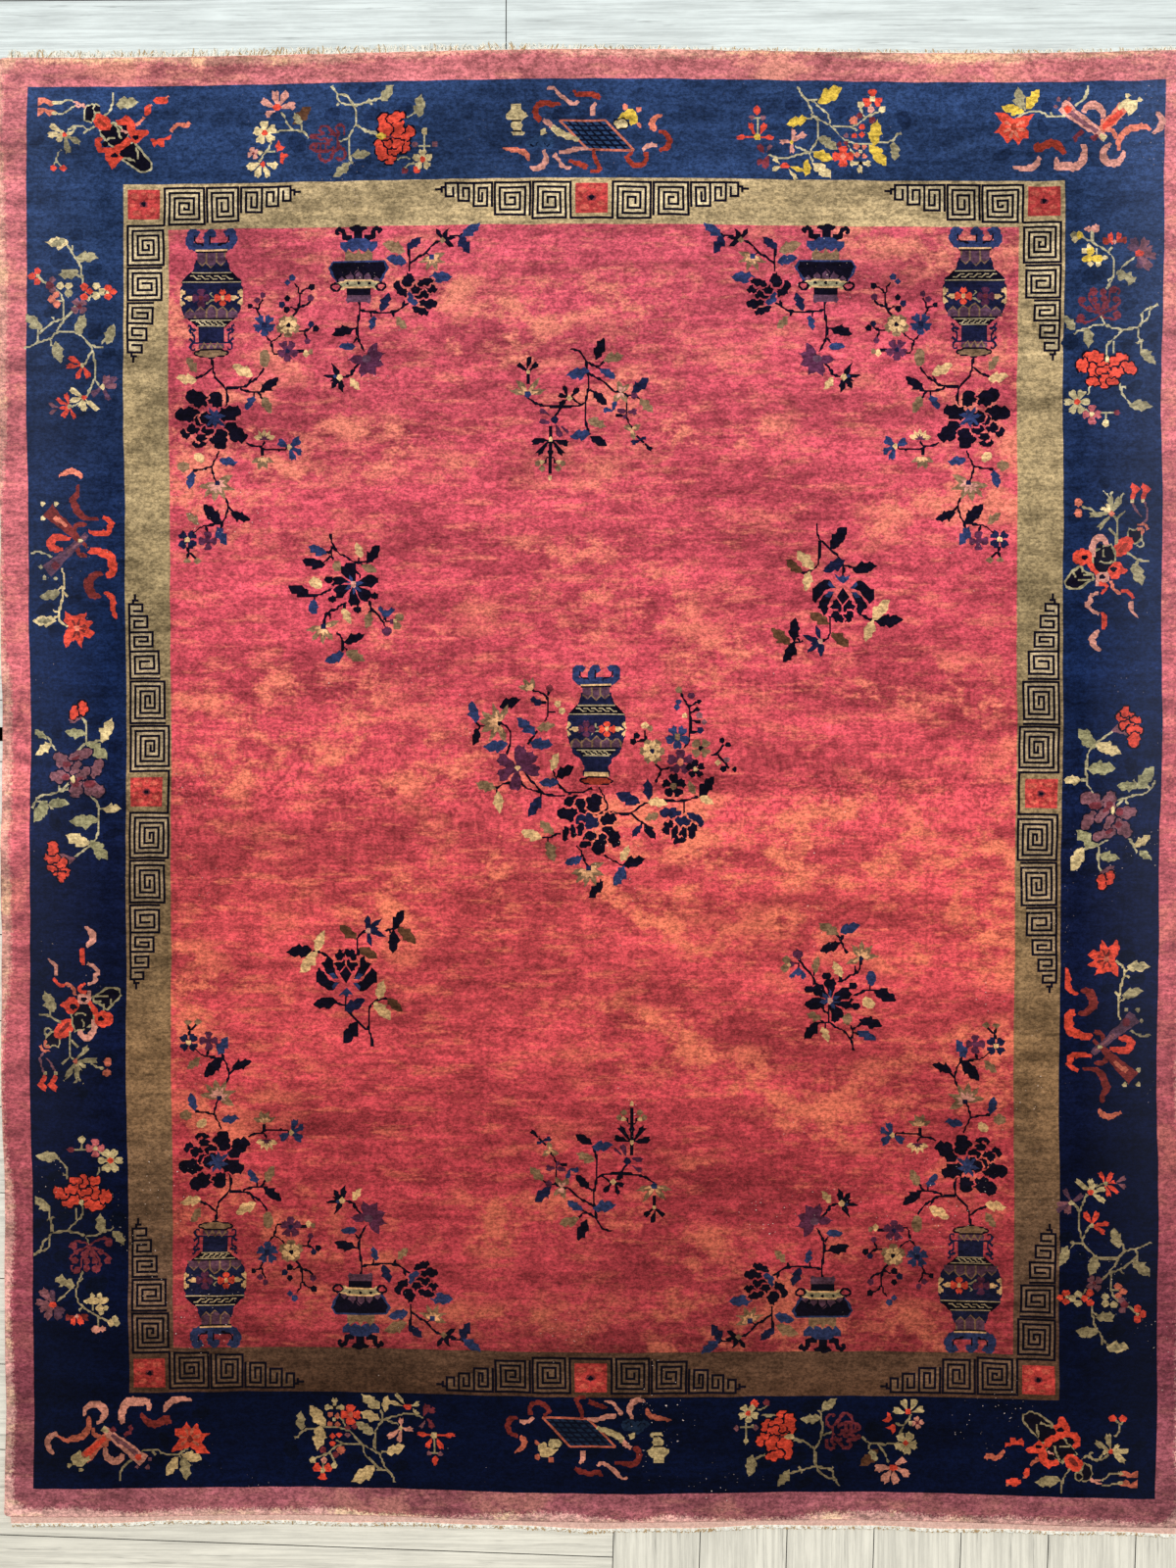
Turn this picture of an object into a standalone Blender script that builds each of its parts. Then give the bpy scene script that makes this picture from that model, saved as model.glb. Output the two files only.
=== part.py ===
"""A hand-knotted wool rug lying flat, with a short worn fringe along each end.

Metres, +Z up. X runs across the rug, Y along it, and the underside lies on z = 0.
The origin is the middle of the underside's box.
"""
import math

import bmesh
import bpy

# Driving dimensions.
PILE_WIDTH = 2.440        # from side to side
PILE_LENGTH = 3.014       # from end to end, without the fringes
PILE_HEIGHT = 0.011       # foundation and pile together
SHOULDER = 0.003          # how far the pile rounds off at its rim
SHOULDER_STEPS = 3        # rings that make the rounding
CORNER_RADIUS = 0.012
CORNER_STEPS = 4          # chords in each rounded corner
RIM_STEP = 0.040          # spacing of the outline's points
TOUCH_GAP = 0.0003        # between the pile's edge and a fringe

# The fringe is a comb: a narrow web with tufts standing out of it.
WEB_WIDTH = 0.005
WEB_THICKNESS = 0.003
TUFT_LENGTH = 0.011
TUFT_LENGTH_CHANGE = 0.003   # worn tufts are shorter or longer by this much
TUFT_PITCH = 0.024
TUFT_SHARE = 0.58            # of the pitch that is tuft, the rest is gap
TUFT_CYCLE = 2.4             # radians of the length's wave from tuft to tuft
FRINGE_INSET = 0.016         # the fringe stops this far from the rug's sides

# How the edges wander off a true rectangle: height of the wave, its length, its phase.
FAR_END_WAVES = ((0.005, 1.70, math.pi / 2), (0.003, 2.60, 2.60))
NEAR_END_WAVES = ((-0.005, 1.15, math.pi / 2),)
SIDE_WAVES = ((0.0025, 1.30, 0.60), (0.0015, 0.47, 0.0))

HALF_WIDTH = PILE_WIDTH / 2
HALF_LENGTH = PILE_LENGTH / 2

# Name, base colour (linear RGB) and roughness of each material.
PILE_FINISH = ("wool_pile", (0.36, 0.06, 0.07), 0.95)
FRINGE_FINISH = ("cotton_fringe", (0.72, 0.62, 0.44), 0.90)


def wave(terms, along):
    """The sum of the given sine terms at one place along an edge."""
    return sum(size * math.sin(2 * math.pi * along / length + phase) for size, length, phase in terms)


def drift(x, y):
    """Where a point of the true rectangle really lies on the uneven rug."""
    toward_far = (y / HALF_LENGTH + 1) / 2
    far_part = toward_far ** 2 * wave(FAR_END_WAVES, x)
    near_part = (1 - toward_far) ** 2 * wave(NEAR_END_WAVES, x)
    side_part = (x / HALF_WIDTH) ** 2 * wave(SIDE_WAVES, y)
    return x + side_part, y + far_part + near_part


def rounded_rectangle(half_width, half_length, radius):
    """Points of a rounded rectangle, counter-clockwise from its lower right corner."""
    centre_x, centre_y = half_width - radius, half_length - radius
    corners = ((1, -1, -90), (1, 1, 0), (-1, 1, 90), (-1, -1, 180))
    points = []
    for index, (sign_x, sign_y, start_deg) in enumerate(corners):
        for step in range(CORNER_STEPS + 1):
            angle = math.radians(start_deg + 90 * step / CORNER_STEPS)
            points.append((sign_x * centre_x + radius * math.cos(angle),
                           sign_y * centre_y + radius * math.sin(angle)))
        straight = 2 * (centre_y if index % 2 == 0 else centre_x)
        parts = max(1, round(straight / RIM_STEP))
        start = points[-1]
        next_x, next_y, next_deg = corners[(index + 1) % 4]
        next_angle = math.radians(next_deg)
        end = (next_x * centre_x + radius * math.cos(next_angle),
               next_y * centre_y + radius * math.sin(next_angle))
        for part in range(1, parts):
            share = part / parts
            points.append((start[0] + (end[0] - start[0]) * share,
                           start[1] + (end[1] - start[1]) * share))
    return points


def make_material(finish):
    """A Principled material of one colour and roughness."""
    name, colour, roughness = finish
    material = bpy.data.materials.new(name)
    material.use_nodes = True
    shader = material.node_tree.nodes["Principled BSDF"]
    shader.inputs["Base Color"].default_value = (*colour, 1.0)
    shader.inputs["Roughness"].default_value = roughness
    shader.inputs["Metallic"].default_value = 0.0
    return material


def add_object(name, mesh_builder, material):
    """Make one named object from a bmesh, with its faces pointing out."""
    bmesh.ops.recalc_face_normals(mesh_builder, faces=mesh_builder.faces[:])
    mesh = bpy.data.meshes.new(name)
    mesh_builder.to_mesh(mesh)
    mesh_builder.free()
    mesh.materials.append(material)
    new_object = bpy.data.objects.new(name, mesh)
    bpy.context.scene.collection.objects.link(new_object)
    return new_object


def make_rug_body(material):
    """The knotted rug: a flat closed solid with a rounded upper rim."""
    builder = bmesh.new()
    levels = [(0.0, 0.0)]
    for step in range(SHOULDER_STEPS + 1):
        angle = math.radians(90 * step / SHOULDER_STEPS)
        levels.append((SHOULDER * (1 - math.cos(angle)),
                       PILE_HEIGHT - SHOULDER * (1 - math.sin(angle))))
    rings = []
    for inset, height in levels:
        outline = rounded_rectangle(HALF_WIDTH - inset, HALF_LENGTH - inset, CORNER_RADIUS - inset)
        rings.append([builder.verts.new((*drift(x, y), height)) for x, y in outline])
    count = len(rings[0])
    for lower, upper in zip(rings, rings[1:]):
        for index in range(count):
            following = (index + 1) % count
            builder.faces.new((lower[index], lower[following], upper[following], upper[index]))
    builder.faces.new(list(reversed(rings[0])))
    builder.faces.new(rings[-1])
    return add_object("rug_body", builder, material)


def make_fringe(name, end_sign, material):
    """One comb along an end: end_sign is +1 at the far end and -1 at the near end."""
    first = -HALF_WIDTH + FRINGE_INSET
    tufts = int((2 * HALF_WIDTH - 2 * FRINGE_INSET) / TUFT_PITCH)
    pitch = (2 * HALF_WIDTH - 2 * FRINGE_INSET) / (tufts + 1 - TUFT_SHARE)
    stations = []
    for tuft in range(tufts + 1):
        worn = TUFT_LENGTH + TUFT_LENGTH_CHANGE * math.sin(TUFT_CYCLE * tuft)
        stations.append((first + tuft * pitch, worn))
        if tuft < tufts:
            stations.append((first + (tuft + TUFT_SHARE) * pitch, worn))
    builder = bmesh.new()
    rows = []
    for x, tuft_length in stations:
        real_x, edge_y = drift(x, end_sign * HALF_LENGTH)
        outward = (TOUCH_GAP, TOUCH_GAP + WEB_WIDTH, TOUCH_GAP + WEB_WIDTH + tuft_length)
        rows.append([(real_x, edge_y + end_sign * reach) for reach in outward])
    verts = {}

    def corner(station, row):
        key = (station, row)
        if key not in verts:
            verts[key] = builder.verts.new((*rows[station][row], 0.0))
        return verts[key]

    for station in range(len(rows) - 1):
        builder.faces.new((corner(station, 0), corner(station + 1, 0),
                           corner(station + 1, 1), corner(station, 1)))
        if station % 2 == 0:
            builder.faces.new((corner(station, 1), corner(station + 1, 1),
                               corner(station + 1, 2), corner(station, 2)))
    grown = bmesh.ops.extrude_face_region(builder, geom=builder.faces[:])
    raised = [item for item in grown["geom"] if isinstance(item, bmesh.types.BMVert)]
    bmesh.ops.translate(builder, verts=raised, vec=(0.0, 0.0, WEB_THICKNESS))
    return add_object(name, builder, material)


def centre_on_origin(objects):
    """Shift every mesh alike, so that the whole box is centred over the origin."""
    points = [vertex.co for item in objects for vertex in item.data.vertices]
    shift_x = -(min(point.x for point in points) + max(point.x for point in points)) / 2
    shift_y = -(min(point.y for point in points) + max(point.y for point in points)) / 2
    for item in objects:
        for vertex in item.data.vertices:
            vertex.co.x += shift_x
            vertex.co.y += shift_y


def main():
    for old_object in list(bpy.data.objects):
        bpy.data.objects.remove(old_object, do_unlink=True)
    pile_material = make_material(PILE_FINISH)
    fringe_material = make_material(FRINGE_FINISH)
    pieces = [make_rug_body(pile_material),
              make_fringe("fringe_far", 1, fringe_material),
              make_fringe("fringe_near", -1, fringe_material)]
    centre_on_origin(pieces)


main()
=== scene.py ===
"""Looks, light and camera for a Chinese Art Deco rug that lies flat on a boarded floor.

The pattern is drawn in millimetres from the rug's middle, X across and Y toward the far end.
Every figure is a list of (dye, outline) pairs; a later outline is knotted over an earlier one.
All outlines are cut into one sheet of faces, and each face takes the dye of the topmost outline.
A call that draws many shapes takes rows of numbers, and a dye's name stands before its rows.
"""
import math
import random

import bpy
import numpy as np
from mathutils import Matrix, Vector, noise
from mathutils.geometry import delaunay_2d_cdt

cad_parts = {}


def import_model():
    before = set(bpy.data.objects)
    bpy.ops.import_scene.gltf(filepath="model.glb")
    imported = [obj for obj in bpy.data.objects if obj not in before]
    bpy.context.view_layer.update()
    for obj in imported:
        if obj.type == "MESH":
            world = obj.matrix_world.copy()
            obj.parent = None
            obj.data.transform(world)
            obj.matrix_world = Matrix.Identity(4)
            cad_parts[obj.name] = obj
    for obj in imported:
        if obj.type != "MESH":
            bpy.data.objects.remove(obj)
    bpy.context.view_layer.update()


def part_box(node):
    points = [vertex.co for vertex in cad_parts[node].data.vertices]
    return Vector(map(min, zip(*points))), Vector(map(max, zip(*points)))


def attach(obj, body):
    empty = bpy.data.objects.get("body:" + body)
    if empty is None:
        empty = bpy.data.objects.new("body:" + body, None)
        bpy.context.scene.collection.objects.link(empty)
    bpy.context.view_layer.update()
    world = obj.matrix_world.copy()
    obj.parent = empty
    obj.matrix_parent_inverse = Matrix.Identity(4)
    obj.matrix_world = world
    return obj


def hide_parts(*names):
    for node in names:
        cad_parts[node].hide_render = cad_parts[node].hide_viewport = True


# ---------------------------------------------------------------- sizes, in millimetres
PILE = (1220.0, 1507.0)      # half width and half length of the pile
NAVY = (1160.0, 1447.0)      # outer edge of the navy border
GOLD = (960.0, 1247.0)       # outer edge of the gold band
FIELD = (867.0, 1154.0)      # outer edge of the rose field
KNOT = 3.5                   # one knot, the step of every edge in the pattern
FINE_KNOT = 0.5              # step of the straight lines' edges
EDGE_STEP = 6.5              # longest stretch of an outline between two points
REST_STEP = 45.0             # spacing of the points that carry the pile's soft swell
REST_SHIFT = (0.9, 0.7)      # their shift, which keeps them off the outlines
CUT_TOLERANCE = 0.001        # distance at which the cut takes two points as one
SWELL = 0.5                  # height of the pile's soft swell
SWELL_PITCH = 0.006          # and its turns a millimetre
HEIGHT = 11.0                # of the pile's top above the floor
SHOULDER = 3.0               # rounding of the rim
SHOULDER_ANGLES = (35, 65, 90)  # where the rounding is cut, in degrees
WEAVE_DRIFT = 1.6            # how far the weaver's lines wander
WEAVE_PITCH = 0.016          # and the turns of that wandering a millimetre
WORN_WIDTH = (0.006, 0.022)  # least and greatest width of the worn rim, in metres
WORN_FADE = 0.008            # and of the fade at its inner edge

# Waves of the ends and sides: height and length in metres, phase in radians.
FAR_END_WAVES = ((0.005, 1.70, math.pi / 2), (0.003, 2.60, 2.60))
NEAR_END_WAVES = ((-0.005, 1.15, math.pi / 2),)
SIDE_WAVES = ((0.0025, 1.30, 0.60), (0.0015, 0.47, 0.0))


# ---------------------------------------------------------------- drawing tools
def turned(points, heading, x=0.0, y=0.0, size=1.0):
    """Points turned by a heading in degrees, scaled and then moved."""
    c, s = math.cos(math.radians(heading)) * size, math.sin(math.radians(heading)) * size
    return [(x + c * u - s * v, y + s * u + c * v) for u, v in points]


def placed(shapes, x, y, turn=0.0, mirror=1, size=1.0, redye=None):
    """A copy of a figure somewhere else, mirrored left to right where mirror is -1."""
    swap = redye or {}
    return [(swap.get(dye, dye), turned([(mirror * u, v) for u, v in points], turn, x, y, size))
            for dye, points in shapes]


def both_sides(shapes, x=0.0):
    """Shapes and their mirror image about the line u = x."""
    return shapes + [(dye, [(2 * x - u, v) for u, v in points]) for dye, points in shapes]


def dyed(rows):
    """Pairs of a dye and a row. A dye's name stands before its rows and holds until the next name."""
    dye = None
    for row in rows:
        if isinstance(row, str):
            dye = row
        else:
            yield dye, row


def ellipse(dye, x, y, long_radius, short_radius=None, heading=0.0):
    """A filled oval."""
    short = short_radius or long_radius
    sides = max(8, round(long_radius * 0.9))
    ring = [(long_radius * math.cos(2 * math.pi * k / sides), short * math.sin(2 * math.pi * k / sides))
            for k in range(sides)]
    return [(dye, turned(ring, heading, x, y))]


def ovals(*rows, squash=1.0):
    """Filled ovals. Each row is x, y and half length, then half width and heading if it isn't round."""
    shapes = []
    for dye, (x, y, long, *rest) in dyed(rows):
        shapes += ellipse(dye, x, y, long, *(rest or [long * squash]))
    return shapes


def smooth(points, rounds):
    """Corner cutting that keeps the line's ends."""
    for _ in range(rounds):
        cut = [points[0]]
        for (ax, ay), (bx, by) in zip(points, points[1:]):
            cut.append((ax * 0.75 + bx * 0.25, ay * 0.75 + by * 0.25))
            cut.append((ax * 0.25 + bx * 0.75, ay * 0.25 + by * 0.75))
        points = cut + [points[-1]]
    return points


def strip(dye, points, width, end_width=None, middle_width=None, rounds=1):
    """A band along a line. Its width may change toward the end and through the middle."""
    line = smooth(list(points), rounds)
    last = width if end_width is None else end_width
    left, right = [], []
    for index, (x, y) in enumerate(line):
        ax, ay = line[max(index - 1, 0)]
        bx, by = line[min(index + 1, len(line) - 1)]
        reach = math.hypot(bx - ax, by - ay) or 1.0
        share = index / (len(line) - 1)
        half = (width + (last - width) * share) / 2
        if middle_width is not None:
            half += (middle_width - (width + last) / 2) / 2 * math.sin(math.pi * share)
        nx, ny = -(by - ay) / reach * half, (bx - ax) / reach * half
        left.append((x + nx, y + ny))
        right.append((x - nx, y - ny))
    return [(dye, left + right[::-1])]


def stems(dye, width, *lines):
    """Several thin stems of one dye."""
    return [shape for line in lines for shape in strip(dye, line, width)]


def bands(*rows):
    """Ribbons. Each row is the width at the start, at the end and in the middle, then the points."""
    return [shape for dye, (width, last, middle, *line) in dyed(rows)
            for shape in strip(dye, line, width, last, middle)]


def patch(dye, *points):
    """One filled outline."""
    return [(dye, list(points))]


def outlined(dye, line_dye, line, *points):
    """A filled outline with a line of another dye round it. Its points run anticlockwise."""
    grown = []
    count = len(points)
    for k, (x, y) in enumerate(points):
        ax, ay = points[k - 1]
        bx, by = points[(k + 1) % count]
        reach = math.hypot(bx - ax, by - ay) or 1.0
        grown.append((x + (by - ay) / reach * line, y - (bx - ax) / reach * line))
    return [(line_dye, grown), (dye, list(points))]


def rectangle(dye, half_width, half_height, x=0.0, y=0.0):
    """A filled rectangle about x, y."""
    return [(dye, [(x - half_width, y - half_height), (x + half_width, y - half_height),
                   (x + half_width, y + half_height), (x - half_width, y + half_height)])]


# ---------------------------------------------------------------- flowers and leaves
LEAF_FULLNESS = 1.2
# Outlines of a unit's length: a leaf about its middle, then petals from their root.
LEAF = ((-0.50, 0.02), (-0.28, 0.15), (-0.06, 0.25), (0.02, 0.15), (0.24, 0.19), (0.50, 0.00),
        (0.26, -0.12), (0.00, -0.20), (-0.10, -0.14), (-0.30, -0.17), (-0.50, -0.02))
PETAL = ((0.00, 0.06), (0.35, 0.30), (0.72, 0.50), (0.97, 0.30), (0.90, 0.00), (0.97, -0.30),
         (0.72, -0.50), (0.35, -0.30), (0.00, -0.06))
POINTED = ((0.00, 0.08), (0.30, 0.42), (0.62, 0.46), (1.00, 0.00), (0.62, -0.46), (0.30, -0.42),
           (0.00, -0.08))
# A lobe of a clump, about its middle, whose half length and half width are 1.
LOBE = ((1.0, -0.10), (0.88, 0.40), (0.55, 0.48), (0.42, 0.90), (0.05, 1.0), (-0.15, 0.72), (-0.60, 0.82),
        (-0.95, 0.35), (-1.0, -0.25), (-0.62, -0.85), (-0.22, -0.66), (0.15, -0.92), (0.50, -0.68),
        (0.80, -0.74))
CLUMP_GROWTH = 3.2           # how far each lobe of a clump swells past its stated size
CLUMP_GAP = 3.4              # line between two lobes
BUD_SHAPE = 0.72             # width of a bud by its length
CORE_SHARE = 0.26            # core of a blossom by its radius
INNER_LENGTH, INNER_WIDTH = 0.54, 0.56  # inner petals of a fan by the outer ones


def leaves(*rows):
    """Notched, pointed leaves. Each row is x, y, length, heading of the tip."""
    return [(dye, turned([(u, v * LEAF_FULLNESS) for u, v in LEAF], heading, x, y, length))
            for dye, (x, y, length, heading) in dyed(rows)]


def petal(dye, x, y, length, width, heading, form=PETAL):
    """One petal from its root at x, y."""
    return [(dye, turned([(length * u, width * v) for u, v in form], heading, x, y))]


def petals(*rows, form=PETAL):
    """Single petals. Each row is x, y, length, width, heading; three numbers keep the last x, y."""
    shapes, root = [], (0, 0)
    for dye, row in dyed(rows):
        if len(row) == 5:
            root = row[:2]
        shapes += petal(dye, *root, *row[-3:], form)
    return shapes


def blossoms(*rows):
    """Flowers seen from the front. Each row is dye, core dye, x, y, radius, petal count, heading."""
    shapes = []
    for dye, core, x, y, radius, count, heading in rows:
        width = 2.0 * radius * math.sin(math.pi / max(count, 4)) * 0.64
        for k in range(count):
            shapes += petal(dye, x, y, radius, width, heading + 360 * k / count)
        shapes += ellipse(core, x, y, radius * CORE_SHARE)
    return shapes


def buds(*rows):
    """Small closed buds. Each row is x, y, length, heading."""
    shapes = []
    for dye, (x, y, length, heading) in dyed(rows):
        root = turned([(-length / 2, 0)], heading, x, y)[0]
        shapes += petal(dye, *root, length, length * BUD_SHAPE, heading, POINTED)
    return shapes


def fans(*rows):
    """Open flowers. Each row is outer dye, inner dye, x, y, petal length, petal width, then the headings."""
    shapes = []
    for outer, inner, x, y, length, width, *headings in rows:
        for heading in headings:
            shapes += petal(outer, x, y, length, width, heading, POINTED)
        for heading in headings:
            shapes += petal(inner, x, y, length * INNER_LENGTH, width * INNER_WIDTH, heading, POINTED)
    return shapes


def clumps(gap, *rows):
    """Lobes parted by lines of the gap's dye. Each row is x, y, half length, half width, heading."""
    shapes = []
    for dye, (x, y, long, wide, heading) in dyed(rows):
        for cloth, grow in ((gap, CLUMP_GROWTH + CLUMP_GAP), (dye, CLUMP_GROWTH)):
            lobe = [((long + grow) * u, (wide + grow) * v) for u, v in LOBE]
            shapes.append((cloth, turned(lobe, heading, x, y)))
    return shapes


def shadows(*rows):
    """Leaves knotted in a navy hardly darker than the ground. Each row is x, y, half length, half width."""
    return [shape for x, y, long, wide in rows for shape in ellipse("dusk", x, y, long, wide, 25)]


# ---------------------------------------------------------------- gold band
ROSETTE = (33.0, 30.0)       # half sizes
ROSETTE_PLACE = (42.0, 41.0)  # middle of a rosette from the band's outer edges
ROSETTE_SPOTS = ((-18, 16, 10), (16, 18, 9), (-14, -18, 9), (19, -12, 8), (0, 22, 6), (-24, -2, 6),
                 (8, -22, 6))
SPOT_SQUASH = 0.6            # height of a spot by its width
FRET_START = 43.0            # first spiral's first line from the rosette's middle
FRET_MARGIN = 8.5            # of gold between the fret and the navy border
FRET_LINE = 5.0              # width of its line
FRET_PITCH = 10.2            # from one turn of a spiral to the next
FRET_GAP = 6.0               # between two tall spirals; low ones share a line
TALL = 65.0                  # least height of a tall spiral
# Width along the band and height across it of each spiral, from the rosette outward.
CORNER_RUN = ((81, 74), (65, 69), (42, 51), (34, 39), (25, 29))
MIDDLE_RUN = ((77, 72), (71, 65), (38, 47), (32, 36), (25, 27))
SIDE_RUN = ((93, 79), (86, 71), (56, 60), (40, 48), (33, 37), (24, 27))
HOOK = ((0, 8), (8, 8), (8, 17), (8, 12), (19, 12))  # the line that ends a run


def spiral(start, width, height):
    """A square spiral's line, from its foot up, along and then inward. u along the band, v across it."""
    low_u, high_u, low_v, high_v = start, start + width, 0.0, height
    line = [(low_u, high_v), (low_u, low_v), (high_u, low_v), (high_u, high_v)]
    low_u += FRET_PITCH
    while high_u - low_u > FRET_PITCH * 0.7 and high_v - low_v > FRET_PITCH * 0.9:
        line.append((low_u, high_v))
        low_v += FRET_PITCH
        line.append((low_u, low_v))
        high_u -= FRET_PITCH
        if high_u - low_u < FRET_PITCH * 0.6:
            break
        line.append((high_u, low_v))
        high_v -= FRET_PITCH
        if high_v - low_v < FRET_PITCH * 0.6:
            break
        line.append((high_u, high_v))
        low_u += FRET_PITCH
    return line


def square_line(dye, line, width):
    """A line of square-ended strokes, one rectangle a stroke."""
    shapes = []
    for (ax, ay), (bx, by) in zip(line, line[1:]):
        half_u, half_v = abs(bx - ax) / 2 + width / 2, abs(by - ay) / 2 + width / 2
        shapes += rectangle(dye, half_u, half_v, (ax + bx) / 2, (ay + by) / 2)
    return shapes


def fret_run(run):
    """A row of shrinking spirals that ends in a small hook. v = 0 is their outer line."""
    shapes, start = [], FRET_START
    for width, height in run:
        gap = FRET_GAP if height >= TALL else 0.0
        shapes += rectangle("straw", width / 2 + 1, height / 2 + 1, start + width / 2, height / 2)
        shapes += square_line("black", spiral(start, width, height), FRET_LINE)
        start += width + gap
    return shapes + square_line("black", [(start + u, v) for u, v in HOOK], FRET_LINE)


def rosette(x, y):
    """The red square with a dark middle at a corner or a side's middle."""
    shapes = rectangle("madder", *ROSETTE, x, y)
    for u, v, radius in ROSETTE_SPOTS:
        shapes += ellipse("ember", x + u, y + v, radius, radius * SPOT_SQUASH)
    return shapes + ovals("maroon", (x, y, 9, 7), "black", (x, y, 6, 5))


def gold_band():
    """Rosettes and fret runs on all four sides."""
    middle = GOLD[0] - ROSETTE_PLACE[0], GOLD[1] - ROSETTE_PLACE[1]
    shapes = []
    for sx in (-1, 1):
        for sy in (-1, 1):
            shapes += rosette(sx * middle[0], sy * middle[1])
    for sign in (-1, 1):
        shapes += rosette(0, sign * middle[1]) + rosette(sign * middle[0], 0)
    for side, outer, along, middle_run in ((0, GOLD[1], middle[0], MIDDLE_RUN),
                                           (1, GOLD[0], middle[1], SIDE_RUN)):
        under = [(-FRET_START, middle_run[0][1]), (FRET_START, middle_run[0][1])]
        for end in (-1, 1):
            lines = square_line("black", under, FRET_LINE)
            for way in (-1, 1):
                lines += [(dye, [(way * (along - u), v) for u, v in points])
                          for dye, points in fret_run(CORNER_RUN)]
                lines += [(dye, [(way * u, v) for u, v in points]) for dye, points in fret_run(middle_run)]
            for dye, points in lines:
                spots = [(u, end * (outer - FRET_MARGIN - v)) for u, v in points]
                shapes.append((dye, [(v, u) for u, v in spots] if side else spots))
    return shapes


# ---------------------------------------------------------------- border figures
def corner_lute():
    """A lute in a bow of coral ribbon, with a lily, tassels and loose ribbons."""
    shapes = shadows((165, 24, 18, 9))
    shapes += outlined("black", "beige", 4, (-70, 70), (-45, 40), (-36, 28), (-18, 30), (2, 44),
        (-14, 62), (-44, 84), (-60, 86), (-70, 80))
    shapes += stems("beige", 3.8, [(-45, 62), (-44, 50), (-40, 36)], [(-38, 66), (-22, 60), (-8, 58)])
    shapes += outlined("black", "beige", 4, (-24, 10), (-2, -6), (8, -13), (36, 4), (22, 22), (4, 37),
        (-12, 30))
    shapes += stems("beige", 3.8, [(-8, 20), (-4, 4), (4, -10)], [(4, 18), (22, 20)])
    shapes += patch("coral", (-13, 58), (-2, 67), (2, 79), (9, 81), (16, 71), (24, 60), (23, 48),
        (38, 47), (46, 32), (45, 19), (33, 15), (27, 18), (34, 27), (30, 36), (20, 38), (2, 34),
        (-12, 26), (-20, 16), (-34, 20), (-24, 34), (-8, 43), (-4, 50))
    shapes += ovals("black", (5, 53, 8.5, 5), (24, 30, 7.5, 7))
    shapes += patch("coral", (-68, 10), (-52, 18), (-40, 31), (-33, 25), (-24, 9), (-21, -2), (-12, -10),
        (0, -8), (2, -19), (-10, -22), (-18, -29), (-28, -23), (-38, -10), (-40, 2), (-62, 3))
    shapes += ovals("black", (-40, 17, 7, 5), (-16, -3, 6.5, 7))
    shapes += strip("petal", [(-22, 8), (-8, 2)], 4)
    shapes += strip("salmon", [(-40, -8), (-50, -16), (-56, -24)], 8, 5)
    shapes += patch("coral", (-111, 14), (-110, 23), (-99, 24), (-99, 36), (-90, 36), (-84, 29),
        (-76, 36), (-72, 27), (-71, 18), (-82, 22), (-94, 20))
    shapes += strip("salmon", [(-149, -12), (-144, -4), (-128, -10), (-117, -2), (-112, 7)], 8, 6, 10)
    shapes += ovals("coral", (-90, -58, 16, 8)) + strip("salmon", [(-100, -60), (-106, -66)], 5, 3)
    shapes += ovals("coral", (-63, -38, 11, 6.5, 80)) + strip("salmon", [(-64, -46), (-72, -48)], 5, 3)
    shapes += strip("tan", [(8, -13), (20, -4), (34, 0)], 7)
    shapes += ovals("coral", (32, -15, 23, 15, -38), "brick", (32, -13, 13, 5, -38))
    shapes += outlined("black", "beige", 3.5, (46, -36), (44, -46), (52, -50), (64, -46), (68, -36),
        (66, -20), (54, -16), (50, -26))
    shapes += outlined("black", "beige", 3, (36, -36), (36, -46), (44, -50), (50, -44), (46, -36))
    shapes += stems("petal", 4.5, [(66, -44), (76, -52), (90, -56)], [(68, -52), (78, -46), (88, -48)])
    shapes += stems("beige", 3.8, [(88, -48), (100, -41), (108, -33), (124, -32)],
        [(90, -57), (104, -60), (114, -54), (126, -54)])
    for y in (-35, -55):
        shapes += patch("salmon", (126, y + 4), (140, y + 8), (150, y), (163, y + 8), (165, y - 8),
            (150, y - 9), (138, y - 4), (126, y - 3))
        shapes += ovals("cream", (129, y + 1, 6, 4))
    shapes += stems("beige", 3.9, [(48, -6), (60, 2), (74, -8), (90, -6), (102, 4)], [(62, 2), (70, 9)],
        [(84, -6), (92, 8)], [(25, -28), (15, -38), (9, -54), (8, -76)],
        [(114, 42), (121, 50), (125, 66), (112, 78)], [(125, 66), (131, 76)])
    shapes += petals("tan", (107, 11, 40, 14, 100), (38, 13, 150), "cream", (22, 10, 40), (38, 13, 2),
        (38, 13, -34), (18, 9, 190))
    shapes += ovals("coral", (107, 11, 5), (110, 79, 8, 7), (130, 79, 8, 7))
    return shapes + leaves("tan", (-20, -53, 50, 186))


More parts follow.
